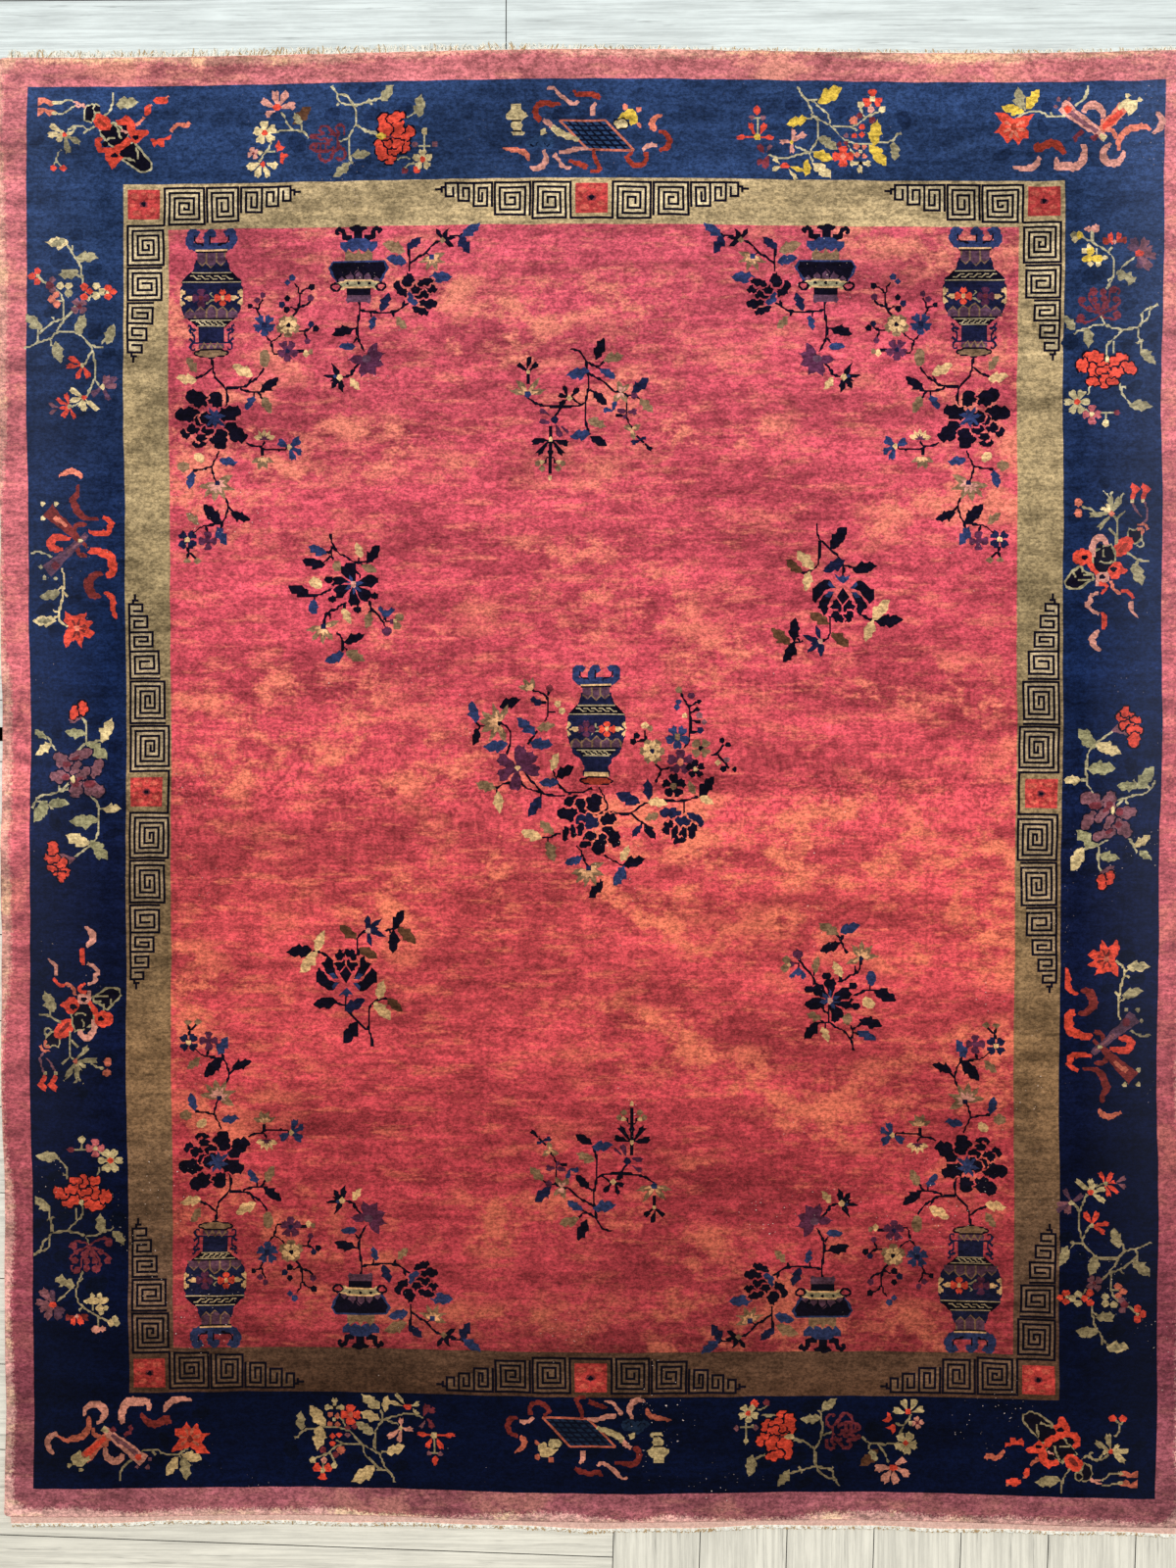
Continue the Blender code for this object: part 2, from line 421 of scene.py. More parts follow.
def peony_spray():
    """A coral and a curled peony on one stem, with small flowers at both ends."""
    shapes = shadows((-35, 72, 26, 13), (92, 20, 18, 22), (20, -38, 18, 12), (-62, -35, 18, 13),
        (-130, -45, 14, 13), (-50, -88, 22, 8))
    shapes += stems("beige", 4.2,
        [(22, -94), (12, -78), (-5, -78), (-28, -54), (-28, -16), (-34, -12), (-54, 2), (-78, 8)],
        [(11, -78), (6, -60), (-12, -56), (-28, -53), (-50, -60), (-80, -68)],
        [(-28, -14), (-22, -6), (-15, 6), (-13, 32), (-16, 54), (-21, 63)], [(-13, 12), (6, 19)],
        [(-16, 60), (-8, 68)], [(-60, -54), (-54, -67)], [(6, -60), (9, -54)], [(-54, -2), (-72, 3)],
        [(-126, -27), (-140, -30), (-150, -38)])
    shapes += leaves("tan", (-93, -77, 42, 232), (-160, -50, 48, 262), (-38, 46, 40, 184),
        (1, 76, 40, 38), "olive", (82, -36, 50, 222), "tan", (92, -30, 30, 300))
    shapes += clumps("black", "coral", (-97, 52, 10, 10, 90), (-82, 36, 19, 13, 100),
        (-127, 31, 12, 10, 80), (-108, 38, 12, 6, 20), (-110, 21, 14, 8, 10), (-92, 22, 10, 5, 120),
        (-133, 5, 14, 11, 30), (-114, -6, 16, 13, 90), (-88, -10, 24, 13, 95), (-110, -29, 16, 8, 200))
    shapes += ovals("yellow", (-80, 9, 10, 6)) + strip("maroon", [(-104, 10), (-90, 10)], 3)
    shapes += stems("maroon", 6, [(18, 34), (22, 50), (32, 59), (44, 54), (48, 43)],
        [(-4, 34), (-6, 50), (6, 57), (12, 50)], [(-3, 36), (6, 27), (14, 38), (22, 46)],
        [(18, 28), (28, 38), (56, 38), (66, 28), (58, 21), (26, 22)], [(34, 36), (34, 24)],
        [(45, 37), (45, 22)], [(56, 36), (54, 24)], [(8, 28), (10, 10), (6, -4)],
        [(20, 12), (30, 18), (36, 8), (44, 17), (52, 8), (66, 12), (62, 4), (40, 4)],
        [(-4, 4), (-4, -12), (6, -18), (15, -10), (8, -2)],
        [(12, 4), (24, -4), (30, -14), (44, -14), (46, -4), (36, 2)], [(12, 8), (20, 2), (28, 4)])
    shapes += stems("beige", 3.9, [(68, 10), (80, -4), (96, -6), (120, -7), (144, -2)],
        [(84, -6), (83, -18)], [(100, -6), (114, -24), (124, -44)],
        [(144, 4), (148, 24), (160, 40), (170, 56)], [(138, 36), (154, 34)])
    shapes += petals("cream", (170, 60, 26, 16, 20), (168, 64, 26, 15, 72), (160, 64, 26, 14, 112),
        (156, 60, 26, 16, 168), "petal", (128, -54, 34, 17, 186), (130, -56, 36, 17, 240),
        (134, -56, 34, 16, 278), (138, -52, 34, 16, 328), (138, -46, 22, 15, 24))
    shapes += ovals("coral", (163, 62, 6), (134, -54, 9, 7))
    shapes += blossoms(("cream", "coral", 158, -3, 25, 5, 60), ("petal", "maroon", 182, 39, 13, 4, 20))
    shapes += patch("coral", (110, 44), (118, 48), (120, 60), (126, 58), (128, 46), (124, 38), (114, 40))
    shapes += patch("coral", (116, 28), (134, 36), (137, 22), (130, 14), (126, 24))
    shapes += ovals("cream", (168, 38, 5), "coral", (-153, 78, 8.5), "maroon", (-128, 80, 7),
        "mauve", (-190, 28, 6), (-150, 28, 6.5))
    shapes += stems("beige", 3.8, [(-148, 65), (-134, 68), (-128, 74)],
        [(-138, 56), (-124, 52), (-110, 56)], [(-170, 40), (-170, 10)], [(-182, 31), (-155, 32)])
    shapes += blossoms(("cream", "coral", -165, 58, 21, 5, 270))
    return shapes + buds("cream", (-170, 2, 17, 270))


def go_board():
    """A slanting game board with ribbons, a brush, a cloud, a vase and a yellow charm."""
    shapes = shadows((-35, -30, 20, 11), (10, -26, 20, 11), (56, -28, 22, 12))
    corners = [(-92, 48), (-34, -12), (60, -12), (2, 46)]
    shapes += patch("sky", *corners)
    for k in range(1, 6):
        share = k / 6
        low = (corners[0][0] + (corners[1][0] - corners[0][0]) * share, 48 - 60 * share)
        high = (corners[3][0] + (corners[2][0] - corners[3][0]) * share, 46 - 58 * share)
        shapes += strip("ink", [low, high], 4, rounds=0)
        low = (corners[0][0] + (corners[3][0] - corners[0][0]) * share, 47)
        high = (corners[1][0] + (corners[2][0] - corners[1][0]) * share, -12)
        shapes += strip("ink", [low, high], 4, rounds=0)
    for a, b in zip(corners, corners[1:] + corners[:1]):
        shapes += strip("salmon", [a, b], 4.5, rounds=0)
    shapes += bands("brick", (7, 7, 11, (-144, 47), (-160, 42), (-165, 25), (-158, 12), (-142, 8)),
        "salmon", (8, 3, 13, (-138, 6), (-128, -1), (-132, -16), (-149, -25)),
        "brick", (8, 5, 10, (-116, 52), (-118, 68), (-108, 79), (-93, 78), (-79, 67), (-77, 59), (-90, 51)),
        "petal", (5, 6, 9, (-139, 38), (-125, 36), (-108, 48)),
        "brick", (8, 8, 9, (-4, 90), (-21, 90), (-22, 82), (-12, 68), (-9, 46)),
        (9, 6, 10, (4, 82), (20, 75), (42, 68)),
        "petal", (5, 10, 8, (36, 82), (50, 82), (62, 68), (72, 54)),
        (8, 7, 10, (2, 45), (26, 44), (44, 52), (60, 51)),
        (5, 4, 13, (92, 46), (86, 66), (94, 79), (106, 87), (120, 82)),
        "salmon", (5, 3, 12, (122, 68), (126, 54), (142, 48), (176, 42)),
        "petal", (10, 7, 10, (72, 3), (82, -8), (93, -14)),
        "brick", (8, 5, 14, (98, -12), (109, -25), (107, -42), (92, -49), (74, -46), (58, -45)),
        "petal", (8, 3, 10, (-8, -21), (-8, -38), (-14, -48)),
        "brick", (8, 6, 11, (-25, -56), (-14, -64), (5, -68), (26, -63), (28, -74)),
        "petal", (5, 3, 9, (20, -52), (30, -44), (45, -52), (60, -66), (72, -79), (86, -77)))
    shapes += ovals("sky", (86, 33, 14, 13), (103, 28, 14, 13), (117, 35, 12, 9))
    shapes += stems("ink", 3.5, [(80, 36), (88, 40), (92, 32)], [(104, 30), (112, 40), (120, 34)])
    shapes += strip("cream", [(20, 27), (44, 20), (64, 10), (76, 0)], 6, 10, 14)
    shapes += strip("cream", [(88, 8), (99, 12)], 12, 10)
    shapes += patch("cream", (131, 10), (133, 18), (155, 18), (157, 11), (153, 8), (159, -1), (156, -12),
        (168, -19), (170, -26), (158, -35), (159, -46), (136, -46), (139, -36), (127, -28), (125, -21),
        (138, -12), (134, -4), (138, 6))
    shapes += strip("black", [(136, 9), (154, 9)], 3.5) + strip("black", [(138, -12), (157, -12)], 3.5)
    shapes += patch("yellow", (-99, -8), (-85, -2), (-84, -14), (-58, -16), (-68, -28), (-80, -35),
        (-94, -34), (-100, -22))
    shapes += ovals("salmon", (-103, -4, 4, 6, 30), (-102, -35, 6), (-74, -40, 6))
    shapes += outlined("cream", "black", 3, (-81, -6), (-72, -16), (-54, -11), (-50, -4), (-58, 5),
        (-76, 2))
    return shapes


def yellow_leaf_spray():
    """A forked stem with yellow leaves and many small red and cream flowers."""
    shapes = shadows((-165, -20, 15, 20), (-35, -35, 15, 12), (60, -50, 18, 12))
    shapes += stems("beige", 3.9, [(50, -84), (46, -72), (35, -60), (20, -35), (22, -26), (8, -18),
        (8, 10), (12, 28), (24, 42), (25, 56), (19, 67)],
        [(35, -60), (20, -58), (8, -45), (-10, -32), (-15, -20), (-15, -10)], [(10, -59), (24, -58)],
        [(20, -27), (4, -18), (-20, -6), (-40, 19), (-60, 28), (-100, 28), (-120, 24), (-138, 24),
        (-150, 10), (-159, 6)], [(-20, -6), (-60, -6), (-72, 2)],
        [(-60, -6), (-78, -16), (-88, -26), (-120, -38)], [(-86, -24), (-78, -35), (-75, -48)],
        [(-97, -48), (-98, -60)], [(26, 46), (50, 54), (82, 62), (94, 59), (110, 52)],
        [(30, 46), (56, 37)], [(-52, 30), (-60, 46), (-68, 52)], [(22, -22), (34, -19)],
        [(8, 45), (22, 46)])
    shapes += leaves("yellow", (-112, 52, 54, 126), (-108, 6, 54, 262), (-2, 55, 44, 160),
        (52, -15, 44, 20), (-16, -69, 58, 214), "cream", (0, 84, 48, 142), "yellow", (32, 80, 34, 80),
        "tan", (-146, 43, 40, 95), (-12, 28, 44, 146))
    shapes += petals("yellow", (66, 77, 30, 10, 165), "cream", (70, 80, 28, 10, 130), (82, 76, 22, 8, 20),
        (88, 72, 18, 9, 310), (-76, 68, 22, 12, 90), (22, 12, 175), (22, 12, 5),
        "petal", (62, 28, 24, 11, 88), (34, 12, 215), (28, 11, 262), (26, 10, 0),
        "coral", (138, 18, 38, 9, 1), (126, 18, 30, 9, 179), (126, 14, 26, 12, 248),
        (138, 14, 28, 12, 292), "maroon", (110, 56, 26, 16, 70), (118, 66, 16, 14, 10),
        (118, 52, 24, 12, 300), "mauve", (114, 48, 20, 9, 235))
    shapes += blossoms(("coral", "salmon", -42, 55, 22, 4, 0), ("coral", "cream", -100, -62, 21, 3, 30))
    shapes += ovals("coral", (77, 75, 9, 5), "yellow", (132, 18, 7))
    shapes += strip("beige", [(132, 12), (132, -20)], 4.5)
    shapes += strip("beige", [(124, -19), (142, -19)], 4)
    shapes += buds("coral", (133, -36, 20, 90), "yellow", (62, 29, 12, 90))
    return shapes + ovals("salmon", (-85, 54, 6), (-70, 52, 6), (-85, 35, 6), (-69, 34, 7),
        "cream", (-76, 45, 4), "maroon", (-48, 28, 6), (-34, 30, 6), "mauve", (-48, 12, 6),
        "coral", (-80, 10, 6.5), (-65, 12, 6), (-80, -6, 6), "salmon", (-62, -19, 9),
        "maroon", (-100, -20, 7), (-74, -29, 7), "cream", (-120, -40, 7), "petal", (-97, -40, 7),
        "cream", (-76, -51, 7), "mauve", (121, -21, 6), (144, -21, 6), "black", (-76, 70, 4))


def corner_scrolls():
    """Two crossed scrolls tied with ribbons, with a red star flower on a leafy twig."""
    shapes = shadows((70, -5, 10, 18), (60, -46, 14, 11), (150, 50, 20, 12))
    shapes += bands("salmon",
        (6, 5, 14, (-86, 44), (-84, 24), (-92, 12), (-106, 0), (-120, 0), (-134, -6), (-151, 4)),
        (8, 9, 9, (-78, 21), (-77, 6), (-60, 0)),
        "petal", (4, 4, 14, (-153, 10), (-168, 3), (-175, -14), (-160, -33)),
        (4, 4, 16, (-95, 45), (-94, 60), (-82, 71), (-62, 68), (-51, 52), (-58, 38), (-70, 28)),
        (8, 3, 18, (-14, 30), (-18, 44), (-14, 64), (2, 78), (20, 72), (36, 78), (40, 64), (38, 55)),
        (4, 4, 14, (73, 53), (76, 65), (90, 77), (108, 78), (129, 74)),
        "brick", (6, 12, 17, (23, 50), (30, 37), (48, 25), (62, 29), (77, 42), (82, 27)),
        "maroon", (5, 8, 9, (0, 26), (4, 14), (-12, 4)),
        "petal", (8, 8, 16, (-52, -22), (-50, -38), (-34, -50), (-18, -46), (-14, -34)),
        "salmon", (8, 6, 9, (-52, 0), (-50, -20)), (14, 26, 21, (-36, 8), (-62, -8), (-96, -46)),
        "coral", (10, 16, 13, (-52, -2), (-92, -36)),
        "petal", (13, 27, 20, (-56, 18), (-20, -10), (30, -50)),
        "mauve", (8, 10, 10, (-40, 6), (-8, -18), (16, -36)), "maroon", (8, 12, 10, (-42, 12), (-30, 20)),
        "beige", (4.5, 4.5, 5, (4, -48), (-14, -62), (-20, -76), (-20, -90)))
    shapes += patch("cream", (-122, -38), (-104, -24), (-100, -36), (-94, -44), (-84, -36), (-82, -46),
        (-98, -60), (-119, -57))
    shapes += patch("cream", (-62, 14), (-54, 25), (-44, 14), (-48, 8))
    shapes += ovals("cream", (-125, -58, 5), (-100, -67, 5), "mauve", (42, -46, 4.5), (16, -62, 4.5),
        (37, -62, 5), "coral", (18, -42, 8))
    shapes += stems("beige", 3.9,
        [(24, -29), (44, -26), (58, -26), (68, -36), (100, -38), (114, -29), (122, -24)],
        [(46, -27), (54, -36)], [(104, -40), (110, -50)])
    shapes += leaves("yellow", (130, -43, 46, 345), (89, -62, 46, 238), "tan", (116, -66, 48, 278))
    shapes += patch("coral", (95, 18), (108, 17), (118, 30), (128, 15), (139, 27), (148, 13), (152, 8),
        (167, 7), (155, -6), (149, -14), (167, -37), (140, -34), (125, -22), (108, -28), (86, -32),
        (98, -13), (104, -4), (96, 4))
    for heading in (20, 70, 110, 165, 215, 325):
        shapes += petal("salmon", 125, -5, 24, 7, heading)
    return shapes + ovals("brick", (126, -6, 6, 8))


def tall_spray():
    """Two peonies, one curled and one full, on a stem that runs along the side border."""
    shapes = shadows((-34, 97, 26, 18), (-78, -38, 18, 17), (40, 36, 18, 11), (54, -129, 18, 10),
        (88, -30, 12, 10), (36, -46, 16, 10))
    shapes += stems("beige", 3.9,
        [(-62, 177), (-40, 166), (-22, 155), (-5, 144), (8, 130), (8, 100), (2, 85), (-6, 69)],
        [(-37, 188), (-37, 166)], [(-5, 144), (3, 152)], [(-27, 152), (-27, 138)],
        [(50, 134), (30, 118), (12, 98)], [(4, 92), (-5, 84)],
        [(-17, 16), (-13, 2), (-9, -4), (-35, -5), (-46, -12), (-60, -14), (-69, -22)],
        [(-9, -4), (10, -12), (30, -14), (58, -12), (66, -2), (80, 10), (82, 26), (96, 35)],
        [(66, -2), (64, 20), (80, 28), (98, 36)], [(60, -12), (60, -30), (66, -42), (67, -58)],
        [(55, -44), (70, -37)], [(27, -14), (16, -28), (6, -36), (-4, -44), (-5, -66)],
        [(9, -36), (10, -63)], [(-41, -12), (-42, -22)], [(-36, -128), (-41, -146)],
        [(-50, -172), (-38, -182)], [(-15, -184), (14, -184)], [(-3, -184), (-4, -196)],
        [(25, -122), (27, -145), (40, -160), (50, -168)], [(26, -131), (35, -132)])
    shapes += ovals("petal", (-44, 190, 9, 6), (-31, 191, 9, 8), "yellow", (-64, 177, 8),
        "tan", (-75, 178, 7), "cream", (-72, 170, 7), "yellow", (-40, 146, 9), "cream", (-53, 146, 6),
        (-43, 156, 6), (-40, 119, 6), (-25, 119, 6), "yellow", (-46, 130, 12, 7), (-25, 130, 12, 8),
        "cream", (-12, 132, 7, 4))
    shapes += petals("brick", (4, 162, 22, 14, 165), "coral", (4, 160, 22, 13, 105),
        (12, 162, 20, 13, 70), "brick", (12, 163, 22, 13, 12), "mauve", (58, 140, 34, 17, 62),
        "slate", (56, 142, 32, 16, 110), (54, 142, 24, 12, 145), "mauve", (60, 140, 28, 12, 22),
        (60, 138, 34, 16, 352), (58, 136, 38, 20, 310), "slate", (56, 134, 26, 14, 278))
    shapes += ovals("coral", (58, 140, 9, 7), "petal", (8, 164, 5, 4))
    shapes += patch("tan", (14, 101), (18, 84), (29, 88), (38, 76), (50, 82), (54, 91), (43, 94),
        (45, 103), (34, 100), (26, 107))
    shapes += stems("maroon", 4.5, [(-18, 18), (-44, 27), (-63, 40), (-60, 50)],
        [(-18, 18), (-38, 40), (-43, 58), (-34, 68)], [(-18, 18), (-26, 34), (-32, 48)],
        [(-16, 18), (-8, 34), (0, 48), (0, 64), (10, 74), (20, 67), (18, 56)],
        [(-16, 18), (6, 28), (23, 42), (16, 52)], [(-16, 16), (-8, 9), (12, 7), (24, 15), (16, 22)],
        [(-18, 16), (-36, 5), (-52, 0), (-66, 6)], [(-18, 24), (-12, 38), (-12, 50), (-14, 64)])
    shapes += ovals("maroon", (-56, 47, 8), (-33, 64, 9), (-30, 48, 7), (-12, 49, 7), (-13, 63, 7),
        (7, 67, 8), (12, 48, 7), (-42, 29, 7), (-24, 34, 6), (-8, 35, 7), (9, 30, 6), (14, 17, 8),
        (-58, 10, 9))
    shapes += leaves("tan", (-80, 1, 38, 128), (-42, -29, 42, 276), (-46, -26, 26, 250),
        (80, -70, 42, 314), (68, -169, 46, 0))
    shapes += clumps("black", "coral", (-30, -69, 19, 10, 0), (-50, -86, 12, 13, 0),
        (20, -76, 18, 10, 20), (41, -92, 15, 10, 340), (-12, -85, 9, 4, 15), (-30, -96, 13, 8, 105),
        (-7, -97, 14, 7, 0), (15, -102, 14, 9, 30), (-28, -119, 12, 7, 0), (-6, -118, 12, 8, 95),
        (10, -119, 9, 5, 0))
    shapes += ovals("cream", (-2, -74, 5, 7)) + blossoms(("wheat", "coral", -63, -160, 27, 6, 0))
    shapes += blossoms(("blush", "cream", -33, -186, 20, 4, 0)) + buds("maroon", (19, -183, 16, 0))
    return shapes + ovals("cream", (-5, -204, 8, 8))


def side_lute():
    """The lute again, upright, for the side border."""
    shapes = shadows((-10, 170, 11, 14), (-70, 95, 14, 10), (70, -80, 14, 10))
    for shift in (0, 21):
        shapes += patch("coral", (47 + shift, 168), (56 + shift, 162), (64 + shift, 154),
            (55 + shift, 143), (47 + shift, 131), (42 + shift, 138), (48 + shift, 150), (44 + shift, 159))
        shapes += ovals("cream", (46 + shift, 129, 4, 4))
    shapes += stems("mauve", 4, [(47, 127), (53, 114), (65, 98)],
        [(70, 128), (77, 112), (78, 95), (68, 84)])
    shapes += outlined("black", "tan", 3.5, (42, 50), (54, 45), (65, 56), (66, 69), (56, 74), (50, 69),
        (42, 74), (39, 64))
    shapes += stems("beige", 3.6, [(65, 54), (70, 42), (63, 35), (55, 41)])
    shapes += stems("salmon", 5, [(58, 82), (72, 85), (78, 72)], [(58, 74), (70, 76), (66, 62)])
    shapes += ovals("coral", (28, 38, 25, 16, 45), "brick", (28, 36, 14, 5, 45))
    shapes += outlined("black", "tan", 4, (-31, 2), (-20, -15), (-4, -13), (4, 0), (13, 10), (10, 28),
        (5, 41), (-16, 36), (-30, 27))
    shapes += stems("tan", 4, [(-12, 34), (-9, 17)], [(-18, 9), (-6, 6), (8, 8)])
    shapes += strip("petal", [(-32, 18), (-34, 40), (-25, 55), (-11, 57), (-3, 42)], 10, 7, 14)
    shapes += ovals("black", (-18, 40, 6, 5), "coral", (-53, 18, 20, 17))
    shapes += strip("coral", [(-40, 14), (-35, -4), (-20, -20)], 12, 9) + ovals("black", (-48, 17, 8, 6))
    shapes += patch("coral", (2, -22), (-3, -9), (12, 8), (22, 7), (28, -2), (40, -11), (27, -18),
        (18, -28), (6, -28))
    shapes += ovals("black", (10, -7, 9, 6), "petal", (-12, -24, 14, 12), "black", (-13, -23, 7, 6))
    shapes += strip("petal", [(-24, -22), (-23, -40)], 8, 6)
    shapes += strip("coral", [(-18, -36), (-3, -40), (-4, -48), (-15, -57)], 8, 6)
    shapes += outlined("black", "tan", 4.2, (-34, -20), (-54, -11), (-58, -2), (-71, -14), (-86, -33),
        (-84, -42), (-62, -46), (-46, -35), (-34, -27))
    shapes += stems("tan", 4, [(-70, -12), (-67, -24)], [(-55, 0), (-53, -13)], [(-50, -19), (-30, -18)],
        [(-62, -28), (-46, -31), (-28, -27)])
    shapes += bands("petal",
        (5, 5, 10, (-20, -55), (-38, -60), (-33, -72), (-45, -79), (-32, -92), (-18, -97)),
        "coral", (7, 8, 11, (-11, -94), (-6, -112), (-10, -129)),
        "petal", (5, 4, 15, (-18, -131), (-33, -146), (-30, -162), (-14, -172)),
        "salmon", (6, 6, 8, (5, -30), (9, -47), (26, -58)),
        "coral", (5, 6, 8, (27, -52), (42, -54), (51, -67)),
        "petal", (8, 4, 8, (46, -72), (45, -92), (61, -108)))
    shapes += stems("tan", 4.5, [(8, 102), (18, 92), (16, 65), (15, 42)], [(0, 76), (14, 60)],
        [(18, 98), (33, 111)], [(-54, 120), (-38, 118), (-28, 107)], [(36, 25), (58, 12), (82, 9)],
        [(58, 12), (57, 0)])
    shapes += petals("tan", (5, 106, 38, 13, 96), (38, 13, 60), "cream", (24, 8, 120), (26, 8, 150),
        "tan", (48, 13, 183), (44, 12, 229))
    shapes += stems("beige", 3.4, [(-2, 143), (-12, 153)], [(2, 143), (8, 151)], [(22, 138), (31, 146)])
    shapes += ovals("salmon", (5, 106, 6), (-61, 129, 8.5), (-62, 107, 8.5))
    return shapes + leaves("tan", (60, -18, 50, 292), (56, -14, 30, 262))


def middle_spray():
    """A broken mauve peony with broad leaves and small coral flowers."""
    shapes = shadows((-70, 89, 20, 10), (47, 63, 13, 20), (-75, -92, 17, 12), (-36, -148, 20, 10),
        (46, -123, 12, 14))
    shapes += stems("beige", 4.2,
        [(8, 135), (-30, 108), (-42, 92), (-45, 60), (-43, 36), (-40, 22), (-27, 8)],
        [(-43, 36), (-56, 36)], [(-32, 108), (-18, 102)], [(-43, 58), (-34, 58)],
        [(20, -5), (38, 0), (56, 6), (76, 8), (88, 18), (95, 36)], [(89, 20), (60, 27), (52, 37)],
        [(36, 0), (14, -21)], [(38, 0), (41, -14)], [(7, -79), (-12, -98), (-30, -102), (-52, -106)],
        [(-14, -100), (-17, -120), (-14, -145), (-7, -153)], [(-16, -117), (-6, -118)],
        [(46, -82), (55, -95), (64, -113)], [(55, -94), (62, -94)])
    shapes += leaves("sage", (-45, 121, 52, 128), (-42, 126, 34, 100), "cream", (0, 99, 54, 338),
        "sage", (-12, 60, 58, 2), "cream", (-72, 36, 38, 180), "sage", (40, 25, 42, 178),
        (78, 42, 54, 58), (72, 36, 34, 95), (-38, -83, 56, 142), "cream", (-59, -126, 54, 245),
        "sage", (8, -121, 42, 352), "cream", (74, -88, 40, 36), "sage", (80, -118, 30, 322))
    shapes += patch("mauve", (4, 138), (24, 157), (34, 153), (40, 127), (22, 131))
    shapes += clumps("black", "coral", (34, 167, 15, 9, 5), (33, 176, 8, 6, 90), (52, 157, 8, 7, 20),
        (36, 147, 12, 8, 5), (53, 138, 13, 8, 0), (51, 118, 12, 10, 90))
    shapes += clumps("ink", "mauve", (-31, -6, 22, 14, 335), (5, -6, 17, 13, 90), (37, -31, 20, 12, 10),
        (30, -61, 23, 13, 325), (-4, -75, 22, 9, 20), (-37, -46, 18, 10, 62), (-10, -36, 15, 8, 45),
        (6, -48, 14, 6, 62))
    shapes += ovals("maroon", (-24, -16, 13, 7), (5, -14, 8, 7), (26, -29, 8, 8), (24, -55, 9, 7),
        (6, -69, 9, 4, 30), (-2, -25, 9, 4, 30), "cream", (12, -25, 5, 8))
    shapes += petal("mauve", -12, -155, 34, 14, 20)
    return shapes + clumps("black", "coral", (8, -163, 11, 8, 70), (-9, -172, 12, 8, 95))


def side_scrolls():
    """The crossed scrolls again, upright, for the side border."""
    shapes = shadows((44, 142, 18, 14), (65, 97, 20, 10), (5, 77, 16, 9))
    shapes += bands("coral", (5, 5, 12, (-81, 118), (-75, 100), (-77, 80), (-70, 70), (-57, 63)),
        "russet", (5, 6, 20, (-50, 70), (-36, 73), (-26, 58), (-22, 44), (-34, 28), (-54, 25)),
        "coral", (12, 6, 19, (-60, 28), (-76, 24), (-72, 4), (-72, -10), (-48, -20), (-34, -24), (-24, -16)),
        "russet", (7, 8, 9, (-21, -12), (-6, -14), (0, -28), (1, -42)), (7, 8, 8, (-22, -28), (-10, -42)),
        "coral", (5, 5, 17, (30, -25), (48, -26), (58, -38), (44, -52), (13, -47)), (6, 6, 13, (-24, -63),
        (-36, -59), (-52, -60), (-68, -58), (-68, -72), (-76, -80), (-54, -92)),
        "russet", (8, 6, 11, (6, -60), (2, -77), (-19, -76)),
        (4, 5, 16, (-44, -88), (-18, -89), (-4, -98), (2, -115), (8, -128), (-3, -140), (-4, -158)),
        "salmon", (6, 4, 13, (-11, -172), (-1, -184), (12, -187), (35, -176)),
        "slate", (11, 31, 17, (-22, -56), (10, -28), (62, 20)), "mauve", (4, 6, 6, (-18, -52), (20, -18)),
        "russet", (11, 33, 20, (-6, -42), (26, -76), (60, -106)),
        "salmon", (5, 10, 9, (20, -72), (46, -92)))
    shapes += ovals("maroon", (44, 8, 9), "beige", (44, 34, 4.5), (67, 33, 5), (75, 11, 4.5),
        "cream", (70, -89, 5), (42, -119, 5), (70, -119, 5), (-8, -43, 5))
    shapes += patch("coral", (-9, 177), (4, 161), (10, 164), (24, 177), (29, 164), (26, 146), (18, 134),
        (27, 120), (25, 101), (6, 112), (-6, 109), (-22, 105), (-17, 119), (-36, 124), (-24, 134),
        (-38, 145), (-27, 156), (-14, 154))
    for heading in (70, 110, 160, 200, 250, 300):
        shapes += petal("russet", 1, 137, 22, 6, heading)
    shapes += ovals("salmon", (1, 137, 6))
    shapes += stems("cream", 3.9,
        [(20, 134), (38, 121), (38, 105), (33, 85), (29, 64), (28, 45), (27, 26), (31, 12)],
        [(38, 110), (50, 118)], [(36, 104), (49, 100)], [(32, 58), (21, 71)], [(30, 50), (42, 59)])
    shapes += stems("beige", 3.6, [(52, -9), (66, -17), (80, -20), (94, -17)])
    return shapes + leaves("cream", (67, 121, 48, 0), "tan", (67, 121, 26, 0), (56, 68, 44, 14))


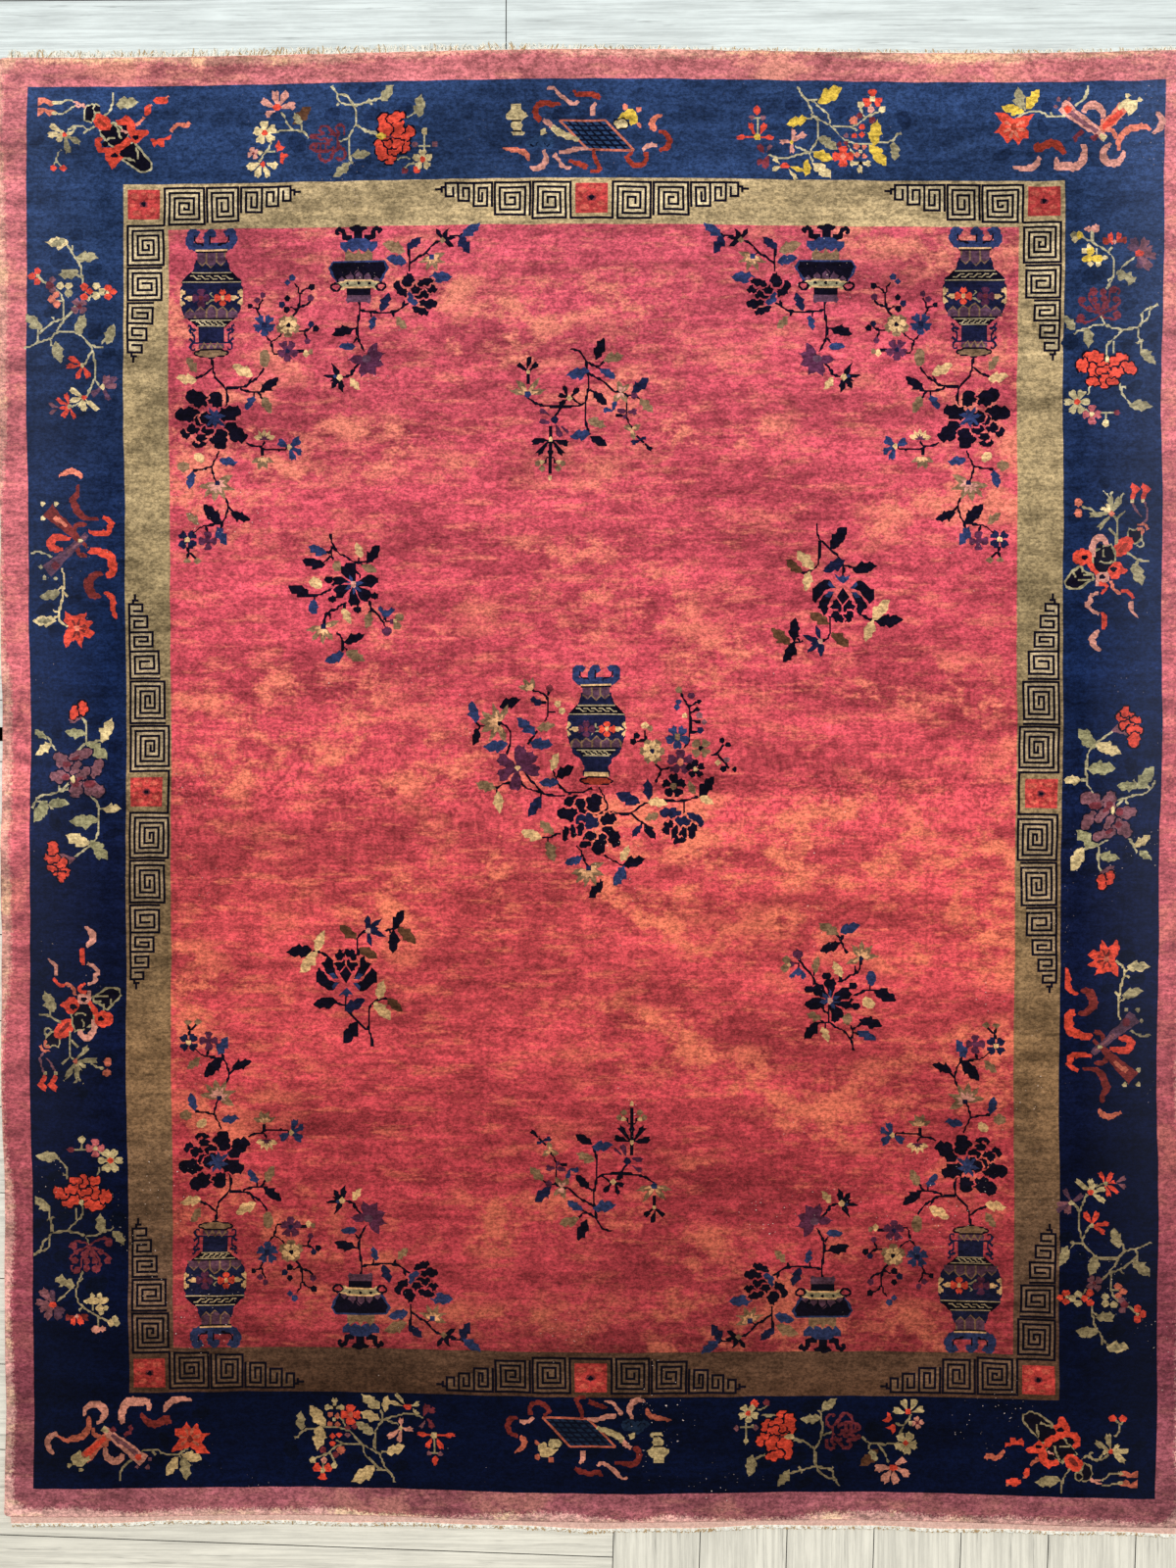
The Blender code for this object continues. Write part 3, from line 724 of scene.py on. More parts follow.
def lower_spray():
    """Lilies above and rows of small round flowers below, on a winding stem."""
    shapes = shadows((-80, 55, 15, 10), (-52, 15, 16, 12), (38, -30, 18, 10), (-50, -115, 16, 11),
        (25, -138, 20, 12), (-12, -186, 16, 14))
    shapes += stems("beige", 3.9, [(-62, 123), (-52, 107), (-53, 80), (-50, 60), (-44, 40), (-26, 22),
        (-15, 12), (10, 12), (28, 12), (40, 28), (64, 32), (78, 40), (94, 45)],
        [(-52, 107), (-45, 125), (-37, 144)], [(-45, 52), (-36, 70), (-30, 80)], [(-44, 40), (-70, 44)],
        [(-62, 41), (-75, 26)], [(-15, 12), (-14, 2)],
        [(28, 12), (22, 0), (12, -12), (0, -28), (-12, -40)], [(64, 32), (66, 6)],
        [(65, 16), (40, -5), (30, -10), (14, -16)], [(31, -9), (37, -18)],
        [(12, -14), (13, -50), (20, -68), (36, -79), (52, -89), (66, -100)], [(13, -53), (28, -53)],
        [(-36, -52), (-44, -64)],
        [(-26, -84), (-24, -98), (-22, -115), (-18, -130), (-8, -142), (0, -158), (10, -168)],
        [(-25, -98), (-12, -106)], [(-4, -154), (-4, -166)], [(36, 42), (40, 28)],
        [(-20, 158), (-5, 165)], [(-72, -66), (-30, -70)])
    shapes += petals("slate", (-68, 125, 32, 11, 118), (30, 12, 38), "mauve", (31, 12, 186),
        "slate", (38, 12, 212), "mauve", (27, 13, 248), "cream", (-30, 147, 40, 12, 138), (29, 12, 90),
        (32, 11, 14), (22, 8, 60), (36, 12, 326), "coral", (0, 165, 28, 10, 116), (28, 12, 56),
        (22, 8, 12), (34, 9, 328), (29, 10, 286), "mauve", (22, 168, 24, 9, 32), (24, 9, 334),
        "coral", (-27, 80, 32, 12, 118), (31, 12, 68), (36, 11, 6), (34, 11, 330))
    shapes += ovals("cream", (-68, 125, 6), "coral", (-30, 147, 6), "tan", (0, 165, 5),
        "cream", (-27, 80, 5))
    shapes += leaves("tan", (24, 54, 46, 104), (28, 50, 30, 70), (-84, 16, 44, 250), (-82, 18, 30, 285),
        (-23, -4, 46, 252), (-21, -4, 30, 285), (76, -9, 48, 316), (3, -108, 42, 8), (4, -110, 34, 340),
        (-34, -140, 46, 178), (-34, -143, 34, 200), "cream", (28, -171, 48, 358),
        "tan", (26, -171, 32, 20))
    shapes += blossoms(("mauve", "maroon", -19, -41, 18, 4, 40))
    shapes += ovals("coral", (-78, -61, 8), (-89, -71, 8), (-78, -79, 8), "cream", (-53, -62, 8),
        (-64, -73, 7), (-53, -82, 8), "coral", (-29, -60, 8), (-40, -71, 8), (-28, -80, 8),
        "tan", (3, -67, 9), "cream", (3, -82, 8), (20, -83, 8), "salmon", (27, -45, 8), (38, -55, 8),
        (28, -65, 7), "mauve", (36, -75, 8), "maroon", (42, -84, 9), "mauve", (37, -95, 7),
        "coral", (68, -91, 8), (79, -102, 8), (68, -112, 8), "cream", (-75, -70, 4), (67, -102, 4),
        squash=0.92)
    return shapes


# Each border figure with the middles of its two copies; the second is turned by half a turn.
BORDER = (
    (corner_lute, (960, -1361), (-973, 1360)),
    (peony_spray, (490, -1341), (-510, 1346)),
    (go_board, (-8, -1337), (-6, 1350)),
    (yellow_leaf_spray, (-456, -1350), (469, 1350)),
    (corner_scrolls, (-959, -1340), (982, 1350)),
    (tall_spray, (1052, 958), (-1060, -923)),
    (side_lute, (1052, 465), (-1060, -451)),
    (middle_spray, (1052, -8), (-1060, 2)),
    (side_scrolls, (1052, -475), (-1060, 475)),
    (lower_spray, (1052, -964), (-1070, 958)),
)
NEAR_HALF = -400.0           # figures nearer than this take duller, darker dyes: painted shade toward the near end
NEAR_SHADE_DYES = {"yellow": "sand", "cream": "wheat", "beige": "flax", "salmon": "rust", "sky": "steel",
             "brick": "russet"}


def border_figures():
    """Every figure of the navy border, twice."""
    shapes = []
    for figure, *places in BORDER:
        for (x, y), turn in zip(places, (0, 180)):
            # Copies in the near half take the darker dyes: painted shade toward the near end.
            shapes += placed(figure(), x, y, turn, redye=NEAR_SHADE_DYES if y < NEAR_HALF else None)
    return shapes


# ---------------------------------------------------------------- field figures
KEY_LINE = 2.4               # width of the pale lines of a key band
KEY_HOOKS = 2.6              # hooks in half a key band
TONGUE_TIP = 9               # length of a tongue's pointed part
TONGUE_LINE = 2.6            # width of the line round a tongue


def pot(dye, x, *rows):
    """A shape symmetric about u = x. Each row is the height and the half width there."""
    right = [(x + half, v) for v, half in rows]
    left = [(x - half, v) for v, half in rows]
    return [(dye, right + left[::-1])]


def key_band(x, low, high, half_low, half_high):
    """A black band between two pale lines, with slanting hooks along it."""
    step, middle = min(half_low, half_high) / KEY_HOOKS, (low + high) / 2
    strokes = [((x - half + 2, v), (x + half - 2, v))
               for v, half in ((low + 1.5, half_low), (high - 1.5, half_high))]
    for k in range(-2, 3):
        u = x + k * step
        for side in (-1, 1):
            v = middle + side * 3
            strokes.append(((u + side * 2, v), (u + side * 0.7 * step, v)))
        strokes.append(((u - 0.3 * step, middle - 4), (u + 0.3 * step, middle + 4)))
    shapes = pot("black", x, (low, half_low), (high, half_high))
    for stroke in strokes:
        shapes += strip("straw_line", stroke, KEY_LINE, rounds=0)
    return shapes


def tongues(dye, line, base, half, *tips):
    """A row of tongues that point away from their base, each edged with a thin line. Tips are u, v."""
    shapes = []
    for u, v in tips:
        neck = v - TONGUE_TIP if v > base else v + TONGUE_TIP
        tongue = [(u - half, base), (u - half, neck), (u, v), (u + half, neck), (u + half, base)]
        shapes += patch(dye, *tongue) + strip(line, tongue, TONGUE_LINE, rounds=0)
    return shapes


def tall_vase(collar="slate", mouth="khaki", handles=True):
    """A tall vase with curled feet, key bands and a row of flowers. It stands on v = 0 about u = 8."""
    axis = 8
    shapes = strip("blue", [(-22, 35), (38, 35)], 15)
    shapes += both_sides(strip("blue", [(-20, 37), (-37, 31), (-38, 12), (-30, 4), (-19, 10)], 17, 13),
        axis)
    shapes += strip("blue", [(2, 36), (-3, 20), (0, 6), (10, 5), (14, 15)], 16, 11)
    shapes += both_sides(strip("black", [(-6, 30), (-22, 28), (-28, 20), (-26, 13)], 3.6), axis)
    shapes += strip("black", [(5, 30), (5, 13)], 3.6)
    neck = ((182, 54), (190, 52), (206, 34), (220, 27), (242, 30))
    if handles:
        neck = ((182, 46), (190, 37), (197, 28), (198, 26), (234, 26))
    shapes += pot("indigo", axis, (60, 33), (80, 38), (92, 49), (104, 60), (118, 64), (140, 65),
        (158, 62), (174, 56), *neck)
    shapes += strip("cream", [(-24, 42), (40, 42)], 4.5) + strip("black", [(-25, 46), (41, 46)], 4)
    shapes += tongues("slate", "khaki", 48, 9.5, (-12, 74), (8, 76), (28, 74))
    shapes += key_band(axis, 86, 108, 43, 63)
    shapes += both_sides(petal("cream", -51, 139, 22, 12, 0) + petal("cream", -57, 140, 17, 11, 62)
        + petal("cream", -57, 138, 17, 11, 298), axis)
    shapes += stems("tan", 3, [(20, 140), (6, 144), (-4, 151)], [(12, 138), (4, 132), (8, 128)])
    shapes += blossoms(("plum", "maroon", -14, 139, 19, 4, 0), ("coral", "cream", 31, 139, 18, 4, 0))
    shapes += tongues("slate", "khaki", 179, 10.5, (-36, 160), (-14, 157), (8, 155), (30, 157), (52, 160))
    shapes += strip("black", [(-40, 181), (56, 181)], 4)
    shapes += key_band(axis, 183, 198, 44, 30)
    shapes += pot(collar, axis, (233, 26), (243, 27))
    if handles:
        shapes += tongues(collar, "khaki", 244, 7, (-6, 232), (8, 232), (22, 232))
        curls = stems("indigo", 4.5, [(-17, 231), (-28, 229), (-36, 236), (-33, 245), (-25, 243)],
            [(-27, 229), (-37, 222)], [(-27, 228), (-26, 215), (-37, 207), (-32, 198), (-38, 193)],
            [(-32, 200), (-24, 206)])
        shapes += both_sides(curls, axis)
    shapes += ovals("black", (axis, 252, 37, 10.5)) + ellipse(mouth, axis, 252.5, 32, 7)
    return shapes


def vase_peony():
    """The peony, leaves and small flowers that rise from the tall vase."""
    shapes = stems("black", 4.6,
        [(8, 252), (10, 275), (13, 292), (20, 308), (38, 323), (42, 346), (38, 362), (16, 380)],
        [(38, 323), (70, 323), (82, 319), (92, 302)], [(66, 324), (78, 332), (118, 331)],
        [(96, 333), (96, 344)], [(103, 333), (114, 345)], [(88, 312), (104, 304), (118, 284)],
        [(10, 282), (-8, 297), (-25, 304)], [(22, 445), (21, 462), (9, 480), (9, 497), (17, 518)],
        [(10, 485), (-10, 489), (-32, 492)], [(31, 542), (40, 562), (38, 584), (28, 602), (25, 614)],
        [(40, 566), (52, 579)], [(30, 602), (-6, 604), (-22, 611), (-34, 624)], [(-6, 605), (-2, 620)],
        [(-43, 648), (-41, 662), (-46, 672)], [(-41, 660), (-28, 671)],
        [(68, 426), (84, 442), (108, 445), (114, 451), (158, 453), (164, 446)], [(112, 450), (112, 464)],
        [(110, 445), (118, 434)])
    shapes += leaves("cream", (-42, 305, 42, 186), "khaki", (-32, 275, 36, 238),
        "blue", (88, 355, 36, 122), "khaki", (124, 360, 40, 62), "black", (128, 317, 46, 322),
        "cream", (72, 288, 48, 208), "blue", (42, 474, 38, 4), (-36, 511, 38, 102),
        "black", (66, 587, 44, 20), (7, 582, 54, 226), "blue", (28, 627, 44, 62),
        "khaki", (-33, 591, 36, 220))
    shapes += ovals("khaki", (118, 263, 11, 18), (-51, 483, 13, 11), "cream", (-18, 466, 12, 9, 40))
    shapes += clumps("rose", "black", (-42, 376, 23, 15, 0), (-20, 345, 22, 15, 25),
        (18, 347, 14, 14, 90), (46, 376, 21, 15, 350), (58, 416, 23, 15, 45), (24, 428, 19, 17, 95),
        (-17, 437, 13, 7, 0), (-10, 424, 11, 6, 340), (-43, 415, 9, 9, 0), (-29, 407, 10, 9, 30),
        (-16, 392, 11, 7, 70), (0, 411, 10, 7, 20), (4, 388, 18, 13, 25))
    shapes += petals("blue", (16, 383, 30, 9, 45), (24, 9, 95), (22, 9, 350), (26, 9, 185), (24, 9, 235),
        (18, 9, 285), (26, 9, 135), form=POINTED)
    shapes += blossoms(("plum", "plum", -2, 637, 20, 4, 0), ("indigo", "cream", -44, 634, 21, 4, 45))
    shapes += fans(("khaki", "petal", 17, 520, 40, 14, 170, 135, 100, 62, 20, 335),
        ("khaki", "apricot", 112, 466, 26, 11, 28, 70, 110, 152),
        ("cream", "plum", 117, 432, 24, 10, 200, 238, 270, 302, 340))
    shapes += ovals("indigo", (19, 519, 5.5), "khaki", (-45, 676, 8, 6), (-24, 677, 8, 6))
    shapes += petals("blue", (168, 446, 30, 15, 72), (30, 14, 26), (28, 17, 208), (28, 18, 325))
    return shapes + ovals("cream", (168, 446, 5.5))


def plum_branch():
    """The small flowering branch between the vase and the censer."""
    shapes = stems("black", 4.4, [(150, 254), (134, 256), (132, 232), (122, 222), (117, 208)],
        [(133, 230), (146, 222), (152, 212)], [(184, 250), (198, 250)],
        [(106, 176), (103, 164), (112, 144)], [(104, 164), (90, 158)],
        [(174, 182), (188, 168), (190, 140), (186, 120), (178, 111)], [(187, 168), (170, 160)],
        [(190, 162), (206, 156), (213, 149)], [(190, 134), (200, 124), (212, 119)],
        [(184, 210), (202, 210), (212, 203)], [(200, 211), (205, 226)])
    shapes += blossoms(("plum", "indigo", 165, 249, 23, 5, 90), ("blue", "indigo", 117, 196, 24, 5, 90),
        ("khaki", "cream", 166, 199, 25, 5, 90), ("cream", "black", 166, 197, 19, 5, 54))
    shapes += ovals("cream", (203, 256, 6, 8), "khaki", (212, 252, 6, 6), "black", (163, 165, 7),
        "indigo", (153, 154, 7), "black", (164, 143, 7), "plum", (212, 143, 7), "black", (214, 119, 7),
        "blue", (164, 110, 7), (174, 100, 7), "plum", (206, 230, 7), "indigo", (213, 197, 7),
        "black", (223, 205, 7), "plum", (102, 145, 7), (113, 135, 6), "black", (88, 157, 6))
    return shapes


def censer():
    """A footed censer with ring handles, standing on v = 0 about u = 310."""
    axis = 310
    shapes = both_sides(strip("black",
        [(298, 22), (281, 22), (279, 8), (270, 2), (263, 9), (270, 13)], 13, 6), axis)
    shapes += ovals("black", (axis, 2, 19, 6)) + strip("black", [(axis, 3), (axis, 26)], 17)
    shapes += both_sides(patch("khaki", (310, 70), (281, 70), (282, 54), (288, 42), (294, 52), (304, 54),
        (310, 42)), axis)
    shapes += both_sides(patch("blue", (310, 24), (296, 24), (286, 30), (271, 28), (271, 40), (279, 48),
        (286, 50), (290, 44), (296, 52), (304, 48), (310, 44)), axis)
    shapes += outlined("black", "blue", 5, (258, 73), (362, 73), (368, 82), (352, 113), (268, 113),
        (252, 82))
    shapes += tongues("slate", "black", 112, 8.5, (275, 97), (292, 90), (310, 86), (328, 90), (345, 97))
    shapes += patch("tan", (270, 113), (290, 108), (310, 107), (330, 108), (350, 113), (345, 124),
        (310, 121), (275, 124))
    shapes += strip("cream", [(267, 114), (290, 107), (330, 107), (353, 114)], 4.5)
    shapes += strip("cream", [(273, 126), (290, 121), (330, 121), (347, 126)], 4.5)
    shapes += ovals("black", (288, 115, 3.5), (310, 114, 3.5), (332, 115, 3.5))
    shapes += both_sides(ovals("black", (264, 121, 12, 9.5), "rose", (264, 121, 8, 5.5)), axis)
    shapes += pot("black", axis, (124, 25), (140, 24))
    shapes += pot("slate", axis, (138, 24), (147, 26), (154, 22), (151, 0))
    return shapes


def censer_spray():
    """The star flower, lilies and dark bloom that rise from the censer."""
    shapes = stems("black", 4.6, [(310, 146), (314, 168), (308, 200), (307, 222), (322, 254)],
        [(308, 206), (294, 206)], [(306, 224), (300, 236)],
        [(312, 278), (300, 290), (293, 302), (276, 305)], [(298, 288), (296, 302)],
        [(314, 168), (336, 173), (378, 175), (400, 166), (420, 150)], [(336, 173), (338, 184)],
        [(380, 174), (384, 184)], [(400, 164), (404, 150)], [(415, 104), (414, 76), (412, 44)],
        [(415, 78), (432, 62), (446, 58), (462, 36), (478, 30)], [(447, 56), (460, 60)],
        [(498, 21), (514, 20), (520, 28)], [(514, 21), (524, 18)])
    for heading in (108, 64, 20, 345, 305, 178):
        shapes += petal("plum", 327, 268, 40, 19, heading, POINTED)
    shapes += ovals("slate", (327, 268, 9))
    shapes += petals("black", (272, 305, 32, 12, 128), (32, 13, 78), (34, 10, 186), (34, 12, 242),
        (22, 6, 158), form=POINTED)
    shapes += petal("blue", 272, 305, 16, 6, 190, POINTED) + ovals("cream", (272, 305, 6, 7))
    shapes += leaves("cream", (303, 318, 32, 52), "blue", (286, 243, 34, 178),
        "black", (277, 213, 46, 164), "blue", (340, 197, 32, 100), "indigo", (364, 153, 42, 292),
        "khaki", (398, 196, 34, 48), "indigo", (424, 34, 38, 322), "blue", (388, 69, 44, 195),
        "khaki", (382, 43, 50, 202), "blue", (480, 104, 48, 0), "indigo", (528, 39, 44, 62),
        "blue", (541, 9, 46, 325))
    shapes += clumps("rose", "black", (397, 128, 17, 10, 50), (412, 110, 12, 11, 300),
        (438, 171, 16, 7, 25), (452, 157, 18, 8, 10), "blue", (422, 146, 12, 9, 80),
        "black", (444, 138, 17, 8, 350), (430, 126, 11, 8, 300), (458, 127, 11, 7, 40),
        (447, 115, 14, 6, 350))
    shapes += fans(("khaki", "apricot", 460, 63, 32, 12, 155, 110, 68, 25, 345))
    shapes += ovals("blue", (460, 63, 6.5, 6))
    shapes += petals("black", (482, 29, 30, 11, 28), (30, 9, 352), (26, 11, 300), (28, 11, 244),
        form=POINTED)
    return shapes + ovals("khaki", (482, 30, 6))


def centre_left():
    """The left half of the middle group: a mauve flower, a lily and their leaves."""
    shapes = stems("black", 4.6, [(-8, 2), (-30, -8), (-60, -8), (-76, 8), (-84, 28), (-88, 40)],
        [(-36, -10), (-64, -14), (-98, -12), (-112, -6), (-128, 14), (-144, 34)],
        [(-110, -7), (-140, 1), (-154, 14), (-158, 36)], [(-156, 13), (-188, 12), (-202, 2), (-203, -10)],
        [(-200, 2), (-212, 3)], [(-111, -8), (-113, -22)],
        [(-182, 70), (-175, 92), (-174, 112), (-184, 130), (-200, 134)],
        [(-226, 130), (-240, 130), (-247, 142)], [(-238, 130), (-243, 118)],
        [(-140, 90), (-130, 104), (-120, 120)],
        [(-104, 138), (-98, 152), (-98, 182), (-106, 196), (-132, 202)], [(-98, 158), (-82, 158)],
        [(-102, 176), (-116, 178)], [(-98, 190), (-96, 202)])
    for heading in (82, 38, 352, 262, 204, 152):
        shapes += petal("plum", -160, 43, 48, 26, heading)
    shapes += ovals("cream", (-160, 43, 6))
    shapes += leaves("blue", (-206, 88, 54, 187), (-250, 159, 46, 103), "black", (-247, 107, 38, 252),
        (-176, 175, 48, 18), "blue", (-143, 129, 50, 138), "khaki", (-103, 128, 40, 12),
        "blue", (-111, 92, 50, 355), "cream", (-83, 57, 40, 68), "black", (-62, 36, 46, 32),
        "blue", (-97, 14, 42, 180), "khaki", (-226, 6, 44, 164), "cream", (-200, -28, 44, 272),
        "indigo", (-125, -36, 48, 236))
    shapes += fans(("khaki", "apricot", -200, 136, 42, 14, 172, 145, 105, 60, 205, 245, 290),
        ("khaki", "apricot", -132, 202, 28, 13, 85, 125, 165))
    shapes += ovals("black", (-197, 134, 5), "maroon", (-94, 206, 8), "indigo", (-128, 183, 7),
        (-120, 177, 8), "cream", (-78, 174, 7), (-70, 160, 7))
    return shapes


def centre_plum():
    """The flowering plum branch to the right of the middle vase."""
    shapes = stems("black", 5, [(174, 198), (184, 178), (193, 168), (194, 104), (182, 86)],
        [(192, 170), (212, 180)], [(194, 156), (206, 162)], [(194, 140), (216, 138)],
        [(194, 116), (210, 120)], [(102, 122), (102, 104), (110, 92)], [(102, 100), (86, 99)],
        [(121, 54), (132, 44), (132, 32), (121, 14)], [(134, 40), (152, 45)],
        [(236, 70), (250, 72), (262, 92)], [(248, 71), (258, 62), (274, 42)], [(206, 52), (218, 44)])
    shapes += blossoms(("blue", "khaki", 168, 108, 25, 5, 54), ("khaki", "cream", 116, 78, 27, 6, 0),
        ("cream", "indigo", 116, 78, 21, 6, 30), ("plum", "salmon", 174, 56, 28, 5, 18),
        ("khaki", "black", 216, 85, 22, 4, 45), ("black", "khaki", 160, 7, 26, 5, 90),
        ("black", "cream", 205, 42, 20, 5, 20))
    return shapes + ovals("plum", (196, 192, 7.5), "black", (212, 180, 5.5), (208, 164, 6),
        "mauve", (212, 152, 7), (222, 138, 6), "indigo", (214, 122, 7), "blue", (170, 179, 6),
        (166, 167, 7), "cream", (182, 150, 6), "khaki", (170, 204, 7), "black", (84, 109, 7), (77, 97, 7),
        "cream", (102, 131, 8), "khaki", (112, 124, 6), "black", (259, 100, 6), (271, 91, 6),
        "mauve", (268, 60, 6), "black", (262, 42, 7), (284, 40, 6), "cream", (250, 54, 6))


def centre_peonies():
    """The two dark peonies below the middle vase, with lilies and leaves."""
    shapes = stems("black", 4.6, [(6, 6), (12, -8), (25, -30), (23, -42), (0, -52)],
        [(24, -42), (48, -50), (72, -50), (98, -30), (114, -23)], [(74, -50), (88, -64), (104, -72)],
        [(96, -68), (92, -78)], [(136, -22), (182, -24), (210, -14)], [(181, -24), (184, -58)],
        [(-58, -88), (-86, -92), (-94, -98), (-112, -98)], [(-98, -98), (-98, -110)],
        [(-38, -116), (-28, -124), (-26, -138), (-14, -158)], [(-28, -136), (-34, -140)],
        [(14, -128), (30, -142), (58, -156)], [(10, -184), (12, -196)])
    shapes += leaves("indigo", (66, -18, 54, 156), (108, 0, 44, 96), "cream", (128, -27, 40, 350),
        "khaki", (116, -56, 34, 20), "indigo", (84, -86, 32, 232), "black", (112, -87, 40, 312),
        (228, 6, 52, 56), "cream", (228, -22, 34, 335), "khaki", (197, 4, 30, 112),
        "cream", (-132, -92, 46, 160), "khaki", (-100, -78, 38, 132), (-92, -128, 46, 285),
        "blue", (-46, -146, 40, 194), "cream", (61, -131, 36, 64), "black", (80, -149, 50, 14),
        "blue", (49, -178, 48, 240), "black", (0, -206, 46, 228))
    shapes += clumps("rose", "black", (-44, -24, 20, 10, 10), (-27, -36, 16, 11, 300),
        (-2, -28, 16, 15, 80), (-52, -52, 25, 12, 350), "indigo", (-17, -66, 21, 15, 0),
        "black", (26, -61, 14, 13, 30), (33, -96, 22, 13, 310), (7, -112, 19, 14, 80),
        (-13, -97, 12, 8, 20), (-31, -82, 12, 5, 80), (-47, -85, 12, 5, 100), (-62, -91, 13, 5, 85),
        (-22, -113, 10, 5, 10))
    shapes += clumps("rose", "indigo", (154, -48, 20, 9, 355), (204, -61, 19, 9, 330),
        (179, -68, 15, 12, 0), "black", (149, -77, 13, 9, 60), (163, -90, 15, 5, 85),
        (198, -85, 14, 7, 80), (180, -93, 14, 6, 90), (172, -105, 12, 4, 10))
    shapes += fans(("khaki", "apricot", -16, -163, 38, 14, 195, 228, 262, 300, 340, 25))
    return shapes + ovals("indigo", (-14, -161, 6))


def end_spray():
    """The branching spray between the vases and the rug's end."""
    shapes = stems("black", 4.8, [(-44, 102), (-26, 98), (-12, 80), (-8, 56), (-3, 30), (-12, 0),
        (-13, -22), (-11, -52), (-4, -74)], [(-8, 74), (4, 66), (14, 64), (27, 75)], [(12, 64), (22, 58)],
        [(-8, 56), (6, 44), (24, 36), (46, 14), (58, 16)], [(-3, 20), (6, 12)],
        [(-14, -8), (-34, -16), (-92, -16), (-114, -10), (-130, 4)], [(-24, -10), (-40, 2)],
        [(-60, -18), (-76, -36)], [(62, 13), (74, 6), (84, 6)],
        [(73, 6), (70, -34), (76, -48), (84, -60)], [(50, -33), (71, -35)], [(-130, 30), (-130, 56)],
        [(-84, -54), (-84, -80)], [(-84, -104), (-84, -154)], [(-84, -119), (-93, -121), (-95, -132)],
        [(-84, -119), (-75, -121), (-73, -132)], [(92, -74), (106, -87), (116, -97)],
        [(92, 4), (100, -3)])
    shapes += leaves("black", (17, 101, 48, 68), "khaki", (46, 83, 42, 15), "blue", (-28, 52, 48, 188),
        (34, 51, 38, 325), "black", (18, 0, 40, 315), "khaki", (11, -50, 42, 335),
        "blue", (-24, -73, 42, 188), "black", (15, -86, 40, 330), "indigo", (100, 27, 46, 42),
        "khaki", (113, -15, 40, 312))
    shapes += petals("black", (-46, 2, 24, 9, 162), (-48, 4, 26, 11, 112), (-42, 2, 28, 12, 55),
        (-50, 0, 22, 11, 222), (-131, 56, 26, 12, 142), (-131, 60, 27, 12, 82), (-128, 56, 26, 12, 42),
        (-88, -82, 36, 15, 192), (-86, -84, 40, 13, 230), (-84, -84, 34, 13, 270),
        (-82, -84, 40, 13, 310), (-80, -82, 36, 15, 344), "plum", (-84, -34, 28, 10, 150),
        (-84, -48, 24, 12, 172), (-74, -52, 28, 13, 292), (-64, -54, 24, 9, 318), (74, -25, 22, 12, 178),
        (72, -26, 22, 13, 358), (72, -30, 12, 9, 240), "blue", (42, -24, 20, 11, 72),
        (44, -24, 20, 12, 176), "indigo", (100, -82, 20, 11, 205), (96, -80, 18, 8, 2),
        "black", (106, -91, 22, 9, 325))
    shapes += fans(("khaki", "apricot", -130, 12, 38, 13, 172, 132, 52, 8),
        ("khaki", "petal", 60, 13, 24, 12, 100, 45, 300, 235),
        ("khaki", "apricot", 84, -62, 20, 12, 160, 280, 30))
    shapes += ovals("cream", (-46, 2, 6), (-130, 54, 4), (-84, -82, 5), "blue", (-130, 9, 7),
        "indigo", (-75, -42, 7.5), "plum", (87, 6, 7), "cream", (-84, -160, 5))
    return shapes + both_sides(ovals("cream", (-101, -129, 6), "khaki", (-110, -131, 6),
        (-100, -142, 7)), -84)


